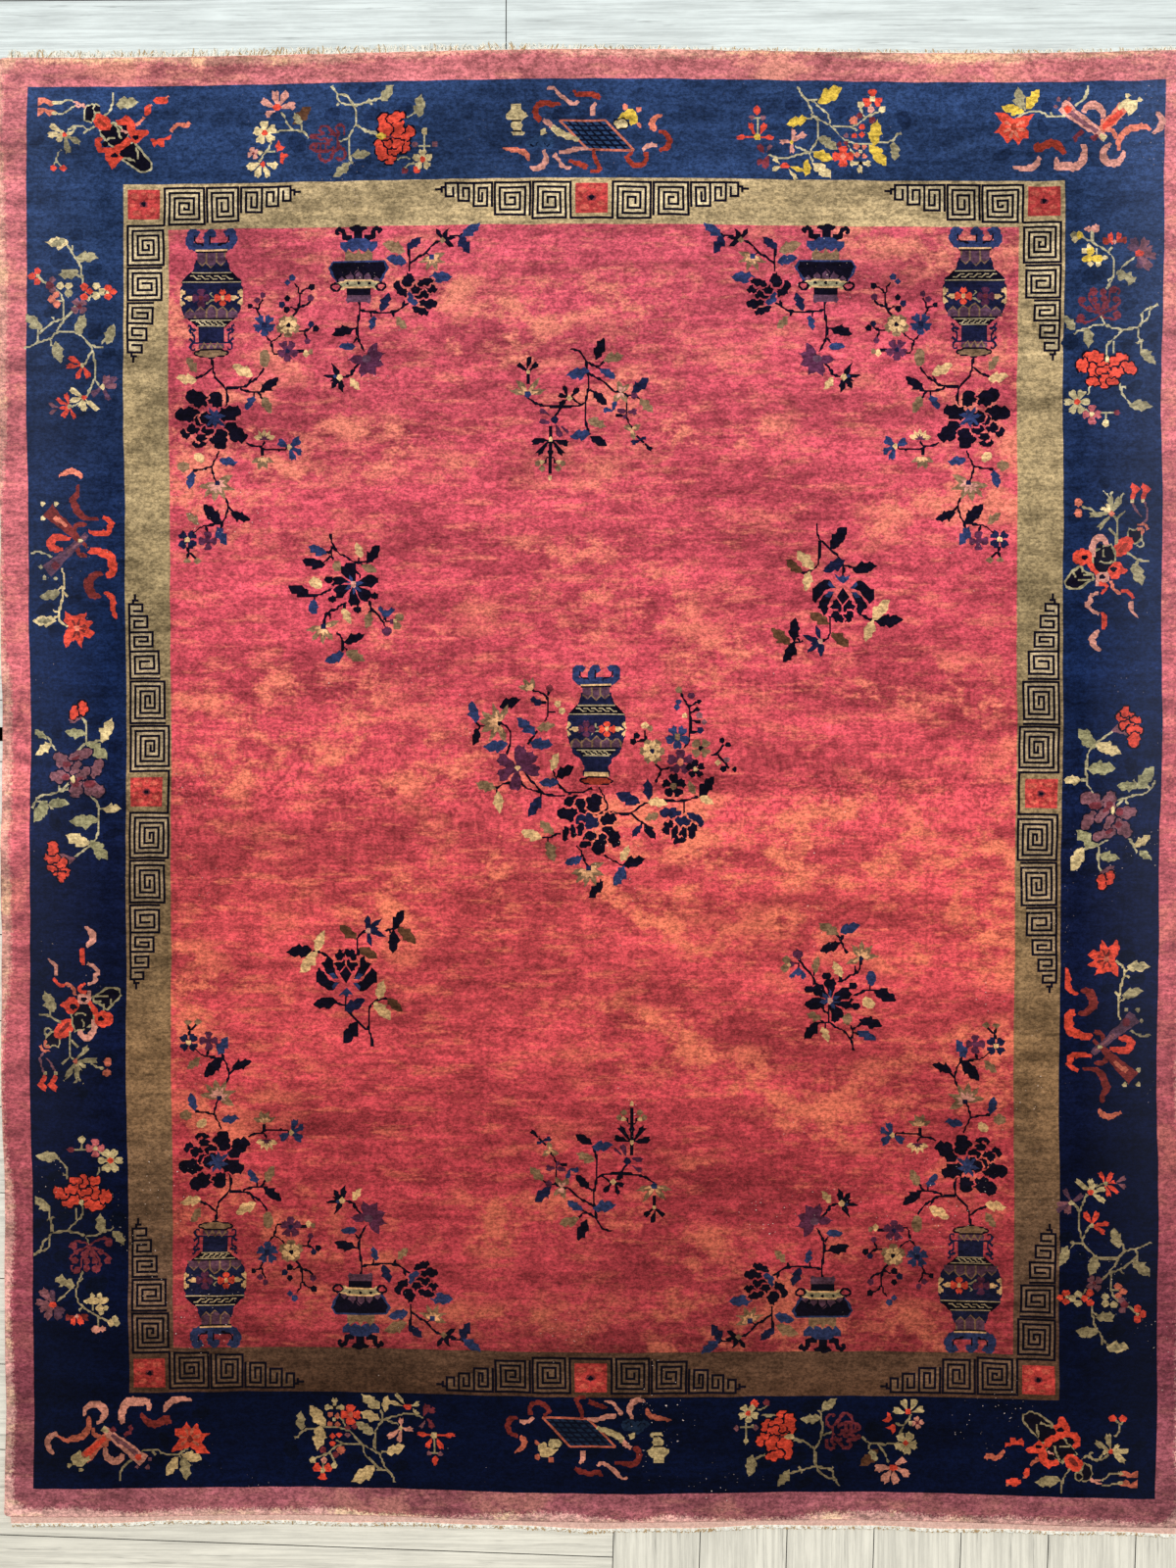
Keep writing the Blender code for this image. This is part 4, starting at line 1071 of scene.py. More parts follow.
def dark_star_spray():
    """A dark flower of six lobed petals, ringed by leaves."""
    shapes = stems("black", 4.8, [(-46, 108), (-42, 84), (-28, 67), (-14, 62), (2, 48), (32, 51)],
        [(12, 50), (12, 60)], [(12, 50), (23, 43)], [(4, 48), (4, 12)], [(6, 32), (17, 22), (16, 12)],
        [(-42, 82), (-46, 68), (-40, 54)], [(-46, 70), (-58, 72)], [(-46, 64), (-56, 52), (-68, 47)],
        [(-38, -5), (-58, -10), (-68, -17), (-94, -17)], [(-78, -17), (-79, -28)],
        [(-10, -32), (-28, -39), (-36, -48), (-50, -51), (-58, -60), (-60, -78)],
        [(-18, -36), (-18, -47)], [(-50, -52), (-47, -68)], [(34, -28), (36, -46), (60, -68), (68, -84)],
        [(36, -46), (35, -56)], [(66, -70), (69, -58)], [(66, -72), (80, -73)],
        [(-34, -94), (-25, -102), (-20, -118), (-22, -132)], [(-20, -116), (-8, -110)],
        [(-20, -120), (-11, -132)])
    for heading, tip_x, tip_y in ((116, -8, 42), (172, -50, 15), (206, -43, -26), (272, 10, -47),
        (318, 45, -19), (12, 45, 12)):
        shapes += ovals("rose", (tip_x, tip_y, 12, 10))
        shapes += petal("rose", 2, 4, 49, 34, heading) + ovals("black", (tip_x, tip_y, 9, 7.5))
        shapes += petal("black", 2, 4, 47, 27, heading) + petal("blue", 2, 4, 22, 9, heading, POINTED)
    shapes += strip("black", [(4, 48), (4, 12)], 4.5) + ovals("petal", (2, 4, 6, 7))
    shapes += leaves("blue", (-73, 76, 42, 155), "black", (-82, 49, 50, 166), "cream", (12, 74, 34, 112),
        "black", (42, 66, 46, 54), "khaki", (35, 36, 34, 335), "black", (-111, -7, 50, 155),
        "khaki", (31, -70, 36, 258), "cream", (-13, -61, 36, 296), "black", (3, -107, 44, 20),
        "blue", (-38, -145, 46, 202), "khaki", (6, -144, 46, 330))
    shapes += ovals("khaki", (-33, 42, 10, 12), "cream", (-76, 8, 15, 11, 330),
        "blue", (-81, -42, 10, 16, 5))
    shapes += fans(("khaki", "apricot", -62, -84, 36, 13, 188, 230, 270, 308, 22))
    shapes += petal("blue", 68, -64, 28, 11, 122) + petal("blue", 68, -64, 28, 11, 52)
    shapes += ovals("blue", (68, -56, 9, 9))
    return shapes + ovals("indigo", (-61, -82, 6), "plum", (70, -92, 10), (82, -72, 6.5),
        "khaki", (96, -63, 9), (92, -80, 9), "cream", (87, -70, 4))


def fan_peony_spray():
    """A peony of paired petals on a bent stem, with a dark lily beside it."""
    half = patch("black", (-14, -20), (-28, -36), (-42, -35), (-50, -25), (-63, -18), (-63, 0), (-54, 11),
        (-46, 2), (-34, -16))
    half += patch("blue", (-14, -21), (-27, -35), (-30, -28), (-22, -19))
    half += patch("rose", (-15, -14), (-30, -17), (-44, 0), (-54, 12), (-48, 16), (-36, -4), (-24, -10))
    half += patch("black", (-16, -12), (-26, -14), (-40, -2), (-52, 20), (-43, 23), (-38, 35), (-30, 30),
        (-25, 8), (-20, -4))
    half += patch("blue", (-17, -12), (-28, -13), (-36, -2), (-26, 0))
    half += clumps("rose", "black", (-12, 18, 12, 10, 110), (-10, 39, 12, 8, 45))
    shapes = both_sides(half) + patch("rose", (0, -26), (-17, -2), (0, 18), (15, -2))
    shapes += patch("black", (0, -22), (-14, -2), (0, 14), (12, -2))
    shapes += patch("blue", (-17, -49), (-7, -36), (0, -31), (8, -36), (18, -51), (6, -43), (0, -52),
        (-6, -43))
    shapes += stems("black", 4.8, [(0, -46), (-2, -66), (6, -80), (30, -106), (46, -117)],
        [(47, -117), (53, -132), (53, -153)], [(47, -117), (48, -72), (56, -59), (78, -50), (86, -54)],
        [(-2, -67), (-24, -62)], [(-36, 30), (-52, 43), (-70, 45)],
        [(26, 36), (24, 56), (25, 78), (42, 88)], [(80, 86), (88, 91), (110, 94)], [(88, 90), (92, 82)])
    shapes += leaves("black", (-96, 46, 56, 182), "cream", (-54, 66, 46, 68), (-78, 22, 54, 230),
        "black", (-44, -62, 52, 187), "indigo", (19, -66, 50, 30), "black", (8, -124, 56, 236),
        "cream", (72, -34, 42, 76), (75, -78, 50, 312), "olive", (100, -66, 42, 320), (4, 85, 46, 140),
        (47, 41, 46, 330), "black", (108, 112, 46, 60), (97, 64, 48, 268), "olive", (126, 78, 50, 318))
    shapes += petals("indigo", (45, 87, 34, 15, 92), (38, 13, 42), (22, 10, 18), (40, 12, 345),
        (34, 11, 282), form=POINTED)
    return shapes + ovals("petal", (45, 87, 5, 6))


CORNER_GROUP = (787, 1153)   # foot of a corner group, from the rug's middle
MIDDLE_GROUP = (9, 5)        # middle of the group round the middle vase
MIDDLE_VASE = (3, 259)       # foot of the middle vase
MIDDLE_VASE_SIZE = 0.94
# Each spray with the middles of its two copies; the second is turned by half a turn.
SPRAYS = (
    (end_spray, (0, 800), (0, -800)),
    (dark_star_spray, (-490, 420), (493, -425)),
    (fan_peony_spray, (-505, -376), (513, 397)),
)


def field_figures():
    """The four corner groups, the middle group and the sprays between them."""
    corner = vase_peony() + tall_vase() + plum_branch() + censer_spray() + censer()
    shapes = []
    for side in (-1, 1):
        shapes += placed(corner, side * CORNER_GROUP[0], CORNER_GROUP[1], 180, side)
        shapes += placed(corner, side * CORNER_GROUP[0], -CORNER_GROUP[1], 0, -side)
    shapes += placed(centre_left() + centre_plum() + centre_peonies(), *MIDDLE_GROUP)
    shapes += placed(tall_vase("cream", "brick", False), *MIDDLE_VASE, 180, -1, MIDDLE_VASE_SIZE)
    for figure, first, second in SPRAYS:
        shapes += placed(figure(), *first) + placed(figure(), *second, 180)
    return placed(shapes, 0, 0, redye={"cream": "buff"})


def pattern():
    """Every outline of the rug over its pink ground."""
    shapes = rectangle("navy", *NAVY) + rectangle("gold", *GOLD) + rectangle("rose", *FIELD)
    return shapes + gold_band() + border_figures() + field_figures()


# ---------------------------------------------------------------- cutting the sheet
def wave(terms, along):
    """The sum of the given sine terms (height, length, phase) at one place along an edge."""
    return sum(size * math.sin(2 * math.pi * along / length + phase) for size, length, phase in terms)


def drift(x, y):
    """Where a point of the true rectangle lies on the uneven rug, all in metres."""
    toward_far = (y * 1000 / PILE[1] + 1) / 2
    end_part = toward_far ** 2 * wave(FAR_END_WAVES, x) + (1 - toward_far) ** 2 * wave(NEAR_END_WAVES, x)
    side_part = (x * 1000 / PILE[0]) ** 2 * wave(SIDE_WAVES, y)
    return x + side_part, y + end_part


def rug_point(x, y, z):
    """A point of the pattern, in millimetres, on the real rug, in metres."""
    near = Vector((x * WEAVE_PITCH, y * WEAVE_PITCH, 3.1))
    x += noise.noise(near) * WEAVE_DRIFT
    y += noise.noise(near + Vector((0.0, 0.0, 9.0))) * WEAVE_DRIFT
    real_x, real_y = drift(x / 1000, y / 1000)
    return real_x, real_y, z / 1000


def knotted(points):
    """An outline with points at most EDGE_STEP apart, on the knots' grid unless it has four corners."""
    knot = FINE_KNOT if len(points) == 4 else KNOT
    line = []
    for (ax, ay), (bx, by) in zip(points, points[1:] + points[:1]):
        parts = max(1, math.ceil(math.hypot(bx - ax, by - ay) / EDGE_STEP))
        for part in range(parts):
            x, y = ax + (bx - ax) * part / parts, ay + (by - ay) * part / parts
            spot = round(x / knot) * knot, round(y / knot) * knot
            if not line or spot != line[-1]:
                line.append(spot)
    while len(line) > 1 and line[0] == line[-1]:
        line.pop()
    return line


def rounded_rim(half_width, half_length, radius=9.0, step=20.0):
    """The pile's top outline, anticlockwise, with rounded corners."""
    points = []
    for sx, sy, start in ((1, -1, -90), (1, 1, 0), (-1, 1, 90), (-1, -1, 180)):
        for k in range(4):
            angle = math.radians(start + 30 * k)
            points.append((sx * (half_width - radius) + radius * math.cos(angle),
                           sy * (half_length - radius) + radius * math.sin(angle)))
    dense = []
    for (ax, ay), (bx, by) in zip(points, points[1:] + points[:1]):
        parts = max(1, round(math.hypot(bx - ax, by - ay) / step))
        dense += [(ax + (bx - ax) * k / parts, ay + (by - ay) * k / parts) for k in range(parts)]
    return dense


def cut_sheet(shapes):
    """Every outline cut into one set of triangles. Returns points, triangles, dyes and the rim."""
    rim = rounded_rim(PILE[0] - SHOULDER, PILE[1] - SHOULDER)
    spots, known = list(rim), {}
    lines = [(k, (k + 1) % len(rim)) for k in range(len(rim))]
    outlines = []
    for dye, points in shapes:
        line = knotted(points)
        if len(line) < 3:
            continue
        for spot in line:
            if spot not in known:
                known[spot] = len(spots)
                spots.append(spot)
        lines += [(known[a], known[b]) for a, b in zip(line, line[1:] + line[:1])]
        outlines.append((dye, np.array(line)))
    steps_x, steps_y = int(PILE[0] / REST_STEP) - 1, int(PILE[1] / REST_STEP) - 1
    for i in range(-steps_x, steps_x + 1):
        for j in range(-steps_y, steps_y + 1):
            spots.append((i * REST_STEP + REST_SHIFT[0], j * REST_STEP + REST_SHIFT[1]))
    made = delaunay_2d_cdt([Vector(spot) for spot in spots], list(set(lines)), [], 0, CUT_TOLERANCE, True)
    points, triangles, sources = made[0], made[2], made[3]
    place = {source: index for index, group in enumerate(sources) for source in group}
    return points, triangles, top_dyes(points, triangles, outlines), [place[k] for k in range(len(rim))]


def top_dyes(points, triangles, outlines):
    """The dye of the last outline that winds round each triangle's middle."""
    middles = np.array([[(points[a][i] + points[b][i] + points[c][i]) / 3 for i in (0, 1)]
                        for a, b, c in triangles])
    dyes = np.full(len(triangles), "pink", dtype=object)
    for dye, line in outlines:
        low, high = line.min(0), line.max(0)
        near = np.flatnonzero((middles[:, 0] > low[0]) & (middles[:, 0] < high[0])
                              & (middles[:, 1] > low[1]) & (middles[:, 1] < high[1]))
        x, y = middles[near, 0][:, None], middles[near, 1][:, None]
        ax, ay = line[:, 0][None], line[:, 1][None]
        bx, by = np.roll(line[:, 0], -1)[None], np.roll(line[:, 1], -1)[None]
        side = (bx - ax) * (y - ay) - (x - ax) * (by - ay)
        winding = ((ay <= y) & (by > y) & (side > 0)).sum(1) - ((ay > y) & (by <= y) & (side < 0)).sum(1)
        dyes[near[winding != 0]] = dye
    return dyes


# ---------------------------------------------------------------- materials
# Display colour of each ground along the rug: place (0 near end, 1 far end), then the colour there. The
# change along the rug is painted sheen and shade of the pile: lighter toward the far end, darker toward the
# near end.
GROUNDS = {
    "pink": ((0.00, 158, 88, 94), (0.12, 142, 66, 78), (0.26, 166, 78, 84), (0.50, 222, 108, 114),
             (0.98, 216, 122, 126)),
    "peach": ((0.00, 224, 168, 156), (0.12, 216, 156, 146), (0.26, 214, 150, 136), (0.50, 232, 160, 144),
              (0.98, 238, 166, 150)),
    "navy": ((0.09, 3, 9, 33), (0.24, 5, 11, 37), (0.46, 15, 24, 56), (0.60, 21, 38, 76),
             (0.75, 29, 44, 78), (0.90, 42, 62, 101), (0.98, 45, 66, 107)),
    "dusk": ((0.09, 3, 7, 24), (0.24, 4, 9, 27), (0.46, 10, 17, 41), (0.60, 14, 27, 58),
             (0.75, 20, 33, 60), (0.90, 30, 47, 80), (0.98, 33, 50, 86)),
    "gold": ((0.08, 74, 48, 32), (0.16, 100, 72, 54), (0.32, 132, 100, 68), (0.64, 160, 138, 100),
             (0.92, 200, 174, 130)),
    "straw": ((0.08, 92, 66, 46), (0.16, 120, 92, 70), (0.32, 154, 124, 92), (0.64, 190, 168, 132),
              (0.92, 222, 200, 158)),
    "rose": ((0.12, 146, 50, 54), (0.24, 178, 60, 66), (0.42, 216, 80, 84), (0.62, 220, 84, 98),
             (0.94, 210, 90, 106)),
}
# Display colour of each dye that is used only in small figures.
FIGURE_DYES = {
    "black": (16, 12, 30), "ink": (14, 20, 46), "indigo": (30, 33, 66), "blue": (50, 62, 106),
    "sky": (56, 84, 128), "slate": (100, 68, 88), "plum": (94, 46, 74), "mauve": (136, 88, 98),
    "maroon": (124, 52, 62), "brick": (168, 62, 46), "coral": (236, 82, 62), "madder": (204, 72, 70),
    "ember": (224, 102, 88), "salmon": (236, 132, 106), "petal": (226, 156, 140),
    "cream": (236, 210, 156), "buff": (238, 192, 138), "apricot": (238, 176, 130),
    "yellow": (238, 198, 78), "khaki": (146, 114, 86), "tan": (168, 156, 120), "sage": (172, 166, 125),
    "straw_line": (196, 176, 138), "blush": (190, 98, 104), "steel": (32, 52, 84),
    "russet": (130, 50, 46), "sand": (216, 190, 140), "wheat": (206, 188, 142), "flax": (160, 148, 116),
    "rust": (206, 112, 90), "olive": (104, 68, 48), "beige": (196, 184, 146),
}
# What the pale clouds of a ground do to its colour, and how strong they are.
CLOUDS = {
    "pink": ((1.22, 1.60, 1.14), 0.9), "peach": ((1.10, 1.18, 1.10), 0.6),
    "navy": ((1.30, 1.25, 1.18), 0.7), "dusk": ((1.30, 1.25, 1.18), 0.7),
    "gold": ((1.24, 1.22, 1.18), 0.8), "straw": ((1.20, 1.18, 1.16), 0.8),
    "rose": ((1.32, 2.65, 1.32), 1.0),
}
FIGURE_CLOUD = ((1.12, 1.12, 1.12), 0.6)
# Painted shade on the small figures along the rug: how much of their colour they keep, less toward the near
# end.
FIGURE_SHADE = ((0.00, 206, 192, 176), (0.20, 216, 204, 190), (0.50, 244, 240, 232),
                (0.75, 255, 255, 255))
# Painted sheen added toward the left and right sides: place (0 left, 1 right), then the display colour
# added.
PAINTED_SIDE_SHEEN = ((0.00, 30, 31, 38), (0.035, 28, 30, 37), (0.09, 0, 0, 0), (0.91, 0, 0, 0),
               (0.965, 38, 40, 48), (1.00, 44, 43, 52))
# That painted sheen grows along the rug: from and to these places, in metres, by these shares.
SIDE_SHEEN_ALONG = (-1.1, 0.2, 0.12, 1.0)
SPECK_COLOUR = (0.80, 0.62, 0.52, 1.0)
KNOT_NOISE = ((1, 1.5, 1), 120.0, 4, 0.85)   # stretch, scale, detail and roughness of single knots
GRAIN = (0.40, 0.60, 0.58, 1.44)             # range of that noise and the levels it becomes
KNOT_BUMP = {"Strength": 0.5, "Distance": 0.0015}
WOOL_ROUGHNESS, WOOL_SHEEN = 0.95, 0.08
# Layers of noise: its stretch, scale, detail and roughness, its range, and the levels the range becomes.
LAYERS = {
    "gatherings": ((0.8, 2.0, 1), 1.9, 4, 0.6, 0.45, 0.55, 0.0, 1.0),
    "blots": ((1.0, 1.5, 1), 6.5, 9, 0.76, 0.495, 0.575, 0.0, 1.0),
    "streaks": ((1.0, 4.5, 1), 8.0, 7, 0.75, 0.535, 0.610, 0.0, 0.55),
    "passages": ((0.8, 2.6, 1), 2.4, 6, 0.7, 0.41, 0.57, 0.66, 1.10),
    "mottles": ((1.0, 1.4, 1), 30.0, 5, 0.75, 0.42, 0.58, 0.78, 1.20),
    "bands": ((0.22, 5.0, 1), 2.2, 5, 0.7, 0.42, 0.58, 0.80, 1.10),
    "rows": ((9.0, 120.0, 1), 1.0, 3, 0.7, 0.40, 0.60, 0.88, 1.10),
    "clusters": ((1, 1, 1), 3.0, 3, 0.6, 0.56, 0.66, 0.0, 1.0),
    "specks": ((1, 1.2, 1), 170.0, 1, 0.6, 0.735, 0.755, 0.0, 1.0),
    "wear": ((1, 1, 1), 2.0, 4, 0.6, 0.42, 0.58, *WORN_WIDTH),
    "tufts": ((1.4, 1, 1), 170.0, 3, 0.7, 0.40, 0.60, -0.3, 0.9),
    "yarn": ((1, 1, 1), 190.0, 5, 0.8, 0.40, 0.60, 0.74, 1.14),
    "fibre": ((3.0, 110.0, 1), 1.0, 6, 0.8, 0.43, 0.58, 1.05, 0.80),
    "cracks": ((2.2, 60.0, 1), 1.7, 4, 0.7, 0.60, 0.66, 1.0, 0.66),
    "blooms": ((1.0, 2.5, 1), 3.0, 5, 0.7, 0.42, 0.58, 0.94, 1.05),
}


def linear(red, green, blue):
    """A colour in linear light from 0-255 display values."""
    parts = [value / 255 for value in (red, green, blue)]
    return tuple(p / 12.92 if p <= 0.04045 else ((p + 0.055) / 1.055) ** 2.4 for p in parts) + (1.0,)


def node(tree, kind, inputs, **settings):
    """A shader node with its settings made and its inputs filled or linked."""
    made = tree.nodes.new("ShaderNode" + kind)
    for key, value in settings.items():
        setattr(made, key, value)
    for key, value in inputs.items():
        if isinstance(value, bpy.types.NodeSocket):
            tree.links.new(value, made.inputs[key])
        else:
            made.inputs[key].default_value = value
    return made


def noise_at(tree, place, stretch, scale, detail, roughness):
    """Noise over stretched coordinates."""
    mapped = node(tree, "Mapping", {"Vector": place, "Scale": stretch})
    return node(tree, "TexNoise", {"Vector": mapped.outputs[0], "Scale": scale, "Detail": detail,
                                   "Roughness": roughness}).outputs[0]


def range_of(tree, value, low, high, to_low=0.0, to_high=1.0):
    """A value's range stretched to another one, clamped."""
    return node(tree, "MapRange", {"Value": value, "From Min": low, "From Max": high,
                                   "To Min": to_low, "To Max": to_high}).outputs[0]


def layer(tree, place, name):
    """One layer of noise as a level."""
    stretch, scale, detail, roughness, *levels = LAYERS[name]
    return range_of(tree, noise_at(tree, place, stretch, scale, detail, roughness), *levels)


def along_axis(tree, place, axis, *levels):
    """Where a place lies between two values along an axis."""
    return range_of(tree, node(tree, "SeparateXYZ", {0: place}).outputs[axis], *levels)


def ramp(tree, value, stops):
    """A ramp of display colours. Each stop is a place and its colour."""
    made = node(tree, "ValToRGB", {"Fac": value})
    elements = made.color_ramp.elements
    while len(elements) < len(stops):
        elements.new(0.5)
    for element, (place, *colour) in zip(elements, stops):
        element.position = place
        element.color = linear(*colour)
    return made.outputs[0]


def mixed(tree, factor, first, second, blend="MIX"):
    """Two colours mixed."""
    return node(tree, "MixRGB", {"Fac": factor, "Color1": first, "Color2": second},
                blend_type=blend).outputs[0]


def multiplied(tree, colour, *levels):
    """A colour multiplied by each level in turn."""
    for level in levels:
        colour = mixed(tree, 1.0, colour, level, "MULTIPLY")
    return colour


def combined(tree, operation, first, second, clamp=False):
    """Two values combined."""
    return node(tree, "Math", {0: first, 1: second}, operation=operation, use_clamp=clamp).outputs[0]


def new_material(name, roughness):
    """A material, its node tree, its object coordinates and its shader."""
    material = bpy.data.materials.new(name)
    material.use_nodes = True
    tree = material.node_tree
    shader = tree.nodes["Principled BSDF"]
    shader.inputs["Roughness"].default_value = roughness
    return material, tree, node(tree, "TexCoord", {}).outputs["Object"], shader


def wool_group():
    """The look that every dye shares: pale clouds, dark passages, streaks, rows, knots, bare specks and a
    painted sheen toward the sides.
    """
    tree = bpy.data.node_groups.new("wool_look", "ShaderNodeTree")
    for way, name, kind in (("INPUT", "Dye", "Color"), ("INPUT", "Tint", "Color"),
                            ("INPUT", "Cloud", "Float"), ("OUTPUT", "Colour", "Color"),
                            ("OUTPUT", "Height", "Float")):
        tree.interface.new_socket(name, in_out=way, socket_type="NodeSocket" + kind)
    source, sink = tree.nodes.new("NodeGroupInput").outputs, tree.nodes.new("NodeGroupOutput").inputs
    place = node(tree, "TexCoord", {}).outputs["Object"]
    patches = combined(tree, "MULTIPLY", layer(tree, place, "gatherings"), layer(tree, place, "blots"))
    pale = combined(tree, "MAXIMUM", patches, layer(tree, place, "streaks"))
    amount = combined(tree, "MULTIPLY", pale, source["Cloud"], True)
    uneven = [layer(tree, place, name) for name in ("passages", "mottles", "bands")]
    tinted = multiplied(tree, source["Dye"], source["Tint"])
    colour = mixed(tree, amount, multiplied(tree, source["Dye"], *uneven), tinted)
    knots = noise_at(tree, place, *KNOT_NOISE)
    colour = multiplied(tree, colour, layer(tree, place, "rows"), range_of(tree, knots, *GRAIN))
    speck = combined(tree, "MULTIPLY", layer(tree, place, "clusters"), layer(tree, place, "specks"))
    colour = mixed(tree, speck, colour, SPECK_COLOUR)
    # Painted sheen: the sides are made lighter, more so toward the far end.
    side_sheen = ramp(tree, along_axis(tree, place, "X", -PILE[0] / 1000, PILE[0] / 1000), PAINTED_SIDE_SHEEN)
    share = along_axis(tree, place, "Y", *SIDE_SHEEN_ALONG)
    colour = mixed(tree, share, colour, mixed(tree, 1.0, colour, side_sheen, "ADD"))
    tree.links.new(colour, sink["Colour"])
    tree.links.new(knots, sink["Height"])
    return tree


def wear_of(tree, place):
    """How worn the pile is, from its distance to the rim: a ragged, tufted zone of uneven width."""
    inside = node(tree, "Attribute", {}, attribute_name="rim_distance").outputs["Fac"]
    left = combined(tree, "SUBTRACT", layer(tree, place, "wear"), inside)
    share = combined(tree, "DIVIDE", left, WORN_FADE)
    return combined(tree, "ADD", share, layer(tree, place, "tufts"), True)


def wool(dye, group):
    """One dye of the pile."""
    material, tree, place, shader = new_material("wool_" + dye, WOOL_ROUGHNESS)
    # The ramps along the rug paint the pile's sheen and shade: lighter toward the far end, darker toward the
    # near end.
    along = along_axis(tree, place, "Y", -PILE[1] / 1000, PILE[1] / 1000)
    if dye in GROUNDS:
        colour = ramp(tree, along, GROUNDS[dye])
    else:
        # The figure dyes take painted shade along the rug, darker toward the near end.
        colour = multiplied(tree, linear(*FIGURE_DYES[dye]), ramp(tree, along, FIGURE_SHADE))
    if dye == "pink":
        colour = mixed(tree, wear_of(tree, place), colour, ramp(tree, along, GROUNDS["peach"]))
    tint, cloud = CLOUDS.get(dye, FIGURE_CLOUD)
    look = node(tree, "Group", {}, node_tree=group)
    tree.links.new(colour, look.inputs["Dye"])
    look.inputs["Tint"].default_value = (*tint, 1.0)
    look.inputs["Cloud"].default_value = cloud
    bump = node(tree, "Bump", {"Height": look.outputs["Height"], **KNOT_BUMP})
    shader.inputs["Specular IOR Level"].default_value = WOOL_SHEEN
    tree.links.new(look.outputs["Colour"], shader.inputs["Base Color"])
    tree.links.new(bump.outputs[0], shader.inputs["Normal"])
    return material


def plain(name, colour, roughness):
    """A material of one colour with a little mottling."""
    material, tree, place, shader = new_material(name, roughness)
    colour = multiplied(tree, linear(*colour), layer(tree, place, "yarn"))
    tree.links.new(colour, shader.inputs["Base Color"])
    return material


# ---------------------------------------------------------------- the pile
TOP_MIDDLE = (0.49, 0.5)     # where the rug's middle lies on the bake map
TOP_SPAN = (2.60, 3.14)      # metres of the rug that the map spans
UNDER_MIDDLE = (0.975, 0.5)  # where the underside's middle lies on the map
UNDER_SCALE = 0.012          # share of the map that a metre of the underside takes


def add_object(name, verts, faces, slots, materials):
    """A mesh object whose faces take their materials by number."""
    mesh = bpy.data.meshes.new(name)
    mesh.from_pydata(verts, [], faces)
    for material in materials:
        mesh.materials.append(material)
    mesh.polygons.foreach_set("material_index", slots)
    piece = bpy.data.objects.new(name, mesh)
    bpy.context.scene.collection.objects.link(piece)
    return piece


def make_pile():
    """The knotted rug as one closed sheet: figured top, rounded rim and flat underside."""
    points, triangles, dyes, rim = cut_sheet(pattern())
    names = [*GROUNDS, *FIGURE_DYES]
    verts = []
    for x, y in points:
        swell = SWELL * noise.noise(Vector((x * SWELL_PITCH, y * SWELL_PITCH, 0.0)))
        verts.append(rug_point(x, y, HEIGHT + swell))
    for index in rim:
        verts[index] = rug_point(*points[index], HEIGHT)
    faces = [tuple(t) for t in triangles]
    slots = [names.index(dye) for dye in dyes]
    levels = [(SHOULDER * (1 - math.sin(a)), HEIGHT - SHOULDER * (1 - math.cos(a)))
              for a in map(math.radians, SHOULDER_ANGLES)] + [(0.0, 0.0)]
    above, count = rim, len(rim)
    for inset, height in levels:
        grow = [(half - inset) / (half - SHOULDER) for half in PILE]
        below = []
        for index in rim:
            x, y = points[index]
            below.append(len(verts))
            verts.append(rug_point(x * grow[0], y * grow[1], height))
        for k in range(count):
            faces.append((above[k], below[k], below[(k + 1) % count], above[(k + 1) % count]))
        above = below
    faces.append(tuple(reversed(above)))
    slots += [names.index("peach")] * (len(faces) - len(slots))
    group = wool_group()
    rug = add_object("rug_pile", verts, faces, slots, [wool(name, group) for name in names])
    inside = [min(PILE[0] - abs(x), PILE[1] - abs(y)) / 1000 for x, y in points]
    inside += [0.0] * (len(verts) - len(inside))
    rug.data.attributes.new("rim_distance", "FLOAT", "POINT").data.foreach_set("value", inside)
    lay_uv(rug.data)
    return rug


def lay_uv(mesh):
    """The top seen from above fills the map; the underside takes a small corner of it."""
    layer_data = mesh.uv_layers.new(name="OFBake").data
    under = len(mesh.polygons) - 1
    for polygon in mesh.polygons:
        for loop in polygon.loop_indices:
            x, y, _ = mesh.vertices[mesh.loops[loop].vertex_index].co
            if polygon.index == under:
                u, v = x * UNDER_SCALE, y * UNDER_SCALE
                middle = UNDER_MIDDLE
            else:
                u, v = x / TOP_SPAN[0], y / TOP_SPAN[1]
                middle = TOP_MIDDLE
            layer_data[loop].uv = (middle[0] + u, middle[1] + v)


def centre_over(piece, node_name):
    """Shift a mesh so that its box is centred over a CAD node's box."""
    low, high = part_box(node_name)
    xs, ys = [v.co.x for v in piece.data.vertices], [v.co.y for v in piece.data.vertices]
    shift = Vector((low.x + high.x - min(xs) - max(xs), low.y + high.y - min(ys) - max(ys), 0.0)) / 2
    for vertex in piece.data.vertices:
        vertex.co += shift
    return shift


# ---------------------------------------------------------------- the fringes, in millimetres
# An end is 1 for the far one and -1 for the near one. Lengths are counted from the pile's edge outward.
# Strands by end: place along the end, shortest and longest strand there.
STRAND_LENGTHS = {1: ((-1220, 15, 24), (-200, 13, 24), (150, 5, 15), (1220, 7, 16)),
                  -1: ((-1220, 6, 10), (-50, 6, 11), (0, 7, 13), (60, 6, 11), (1220, 6, 10))}
STRAND_GAPS = {1: (0.8, 2.4), -1: (0.9, 2.8)}      # least and greatest gap between strands
STRAND_ROOT = {1: -2.5, -1: 15.0}                  # where the strands start
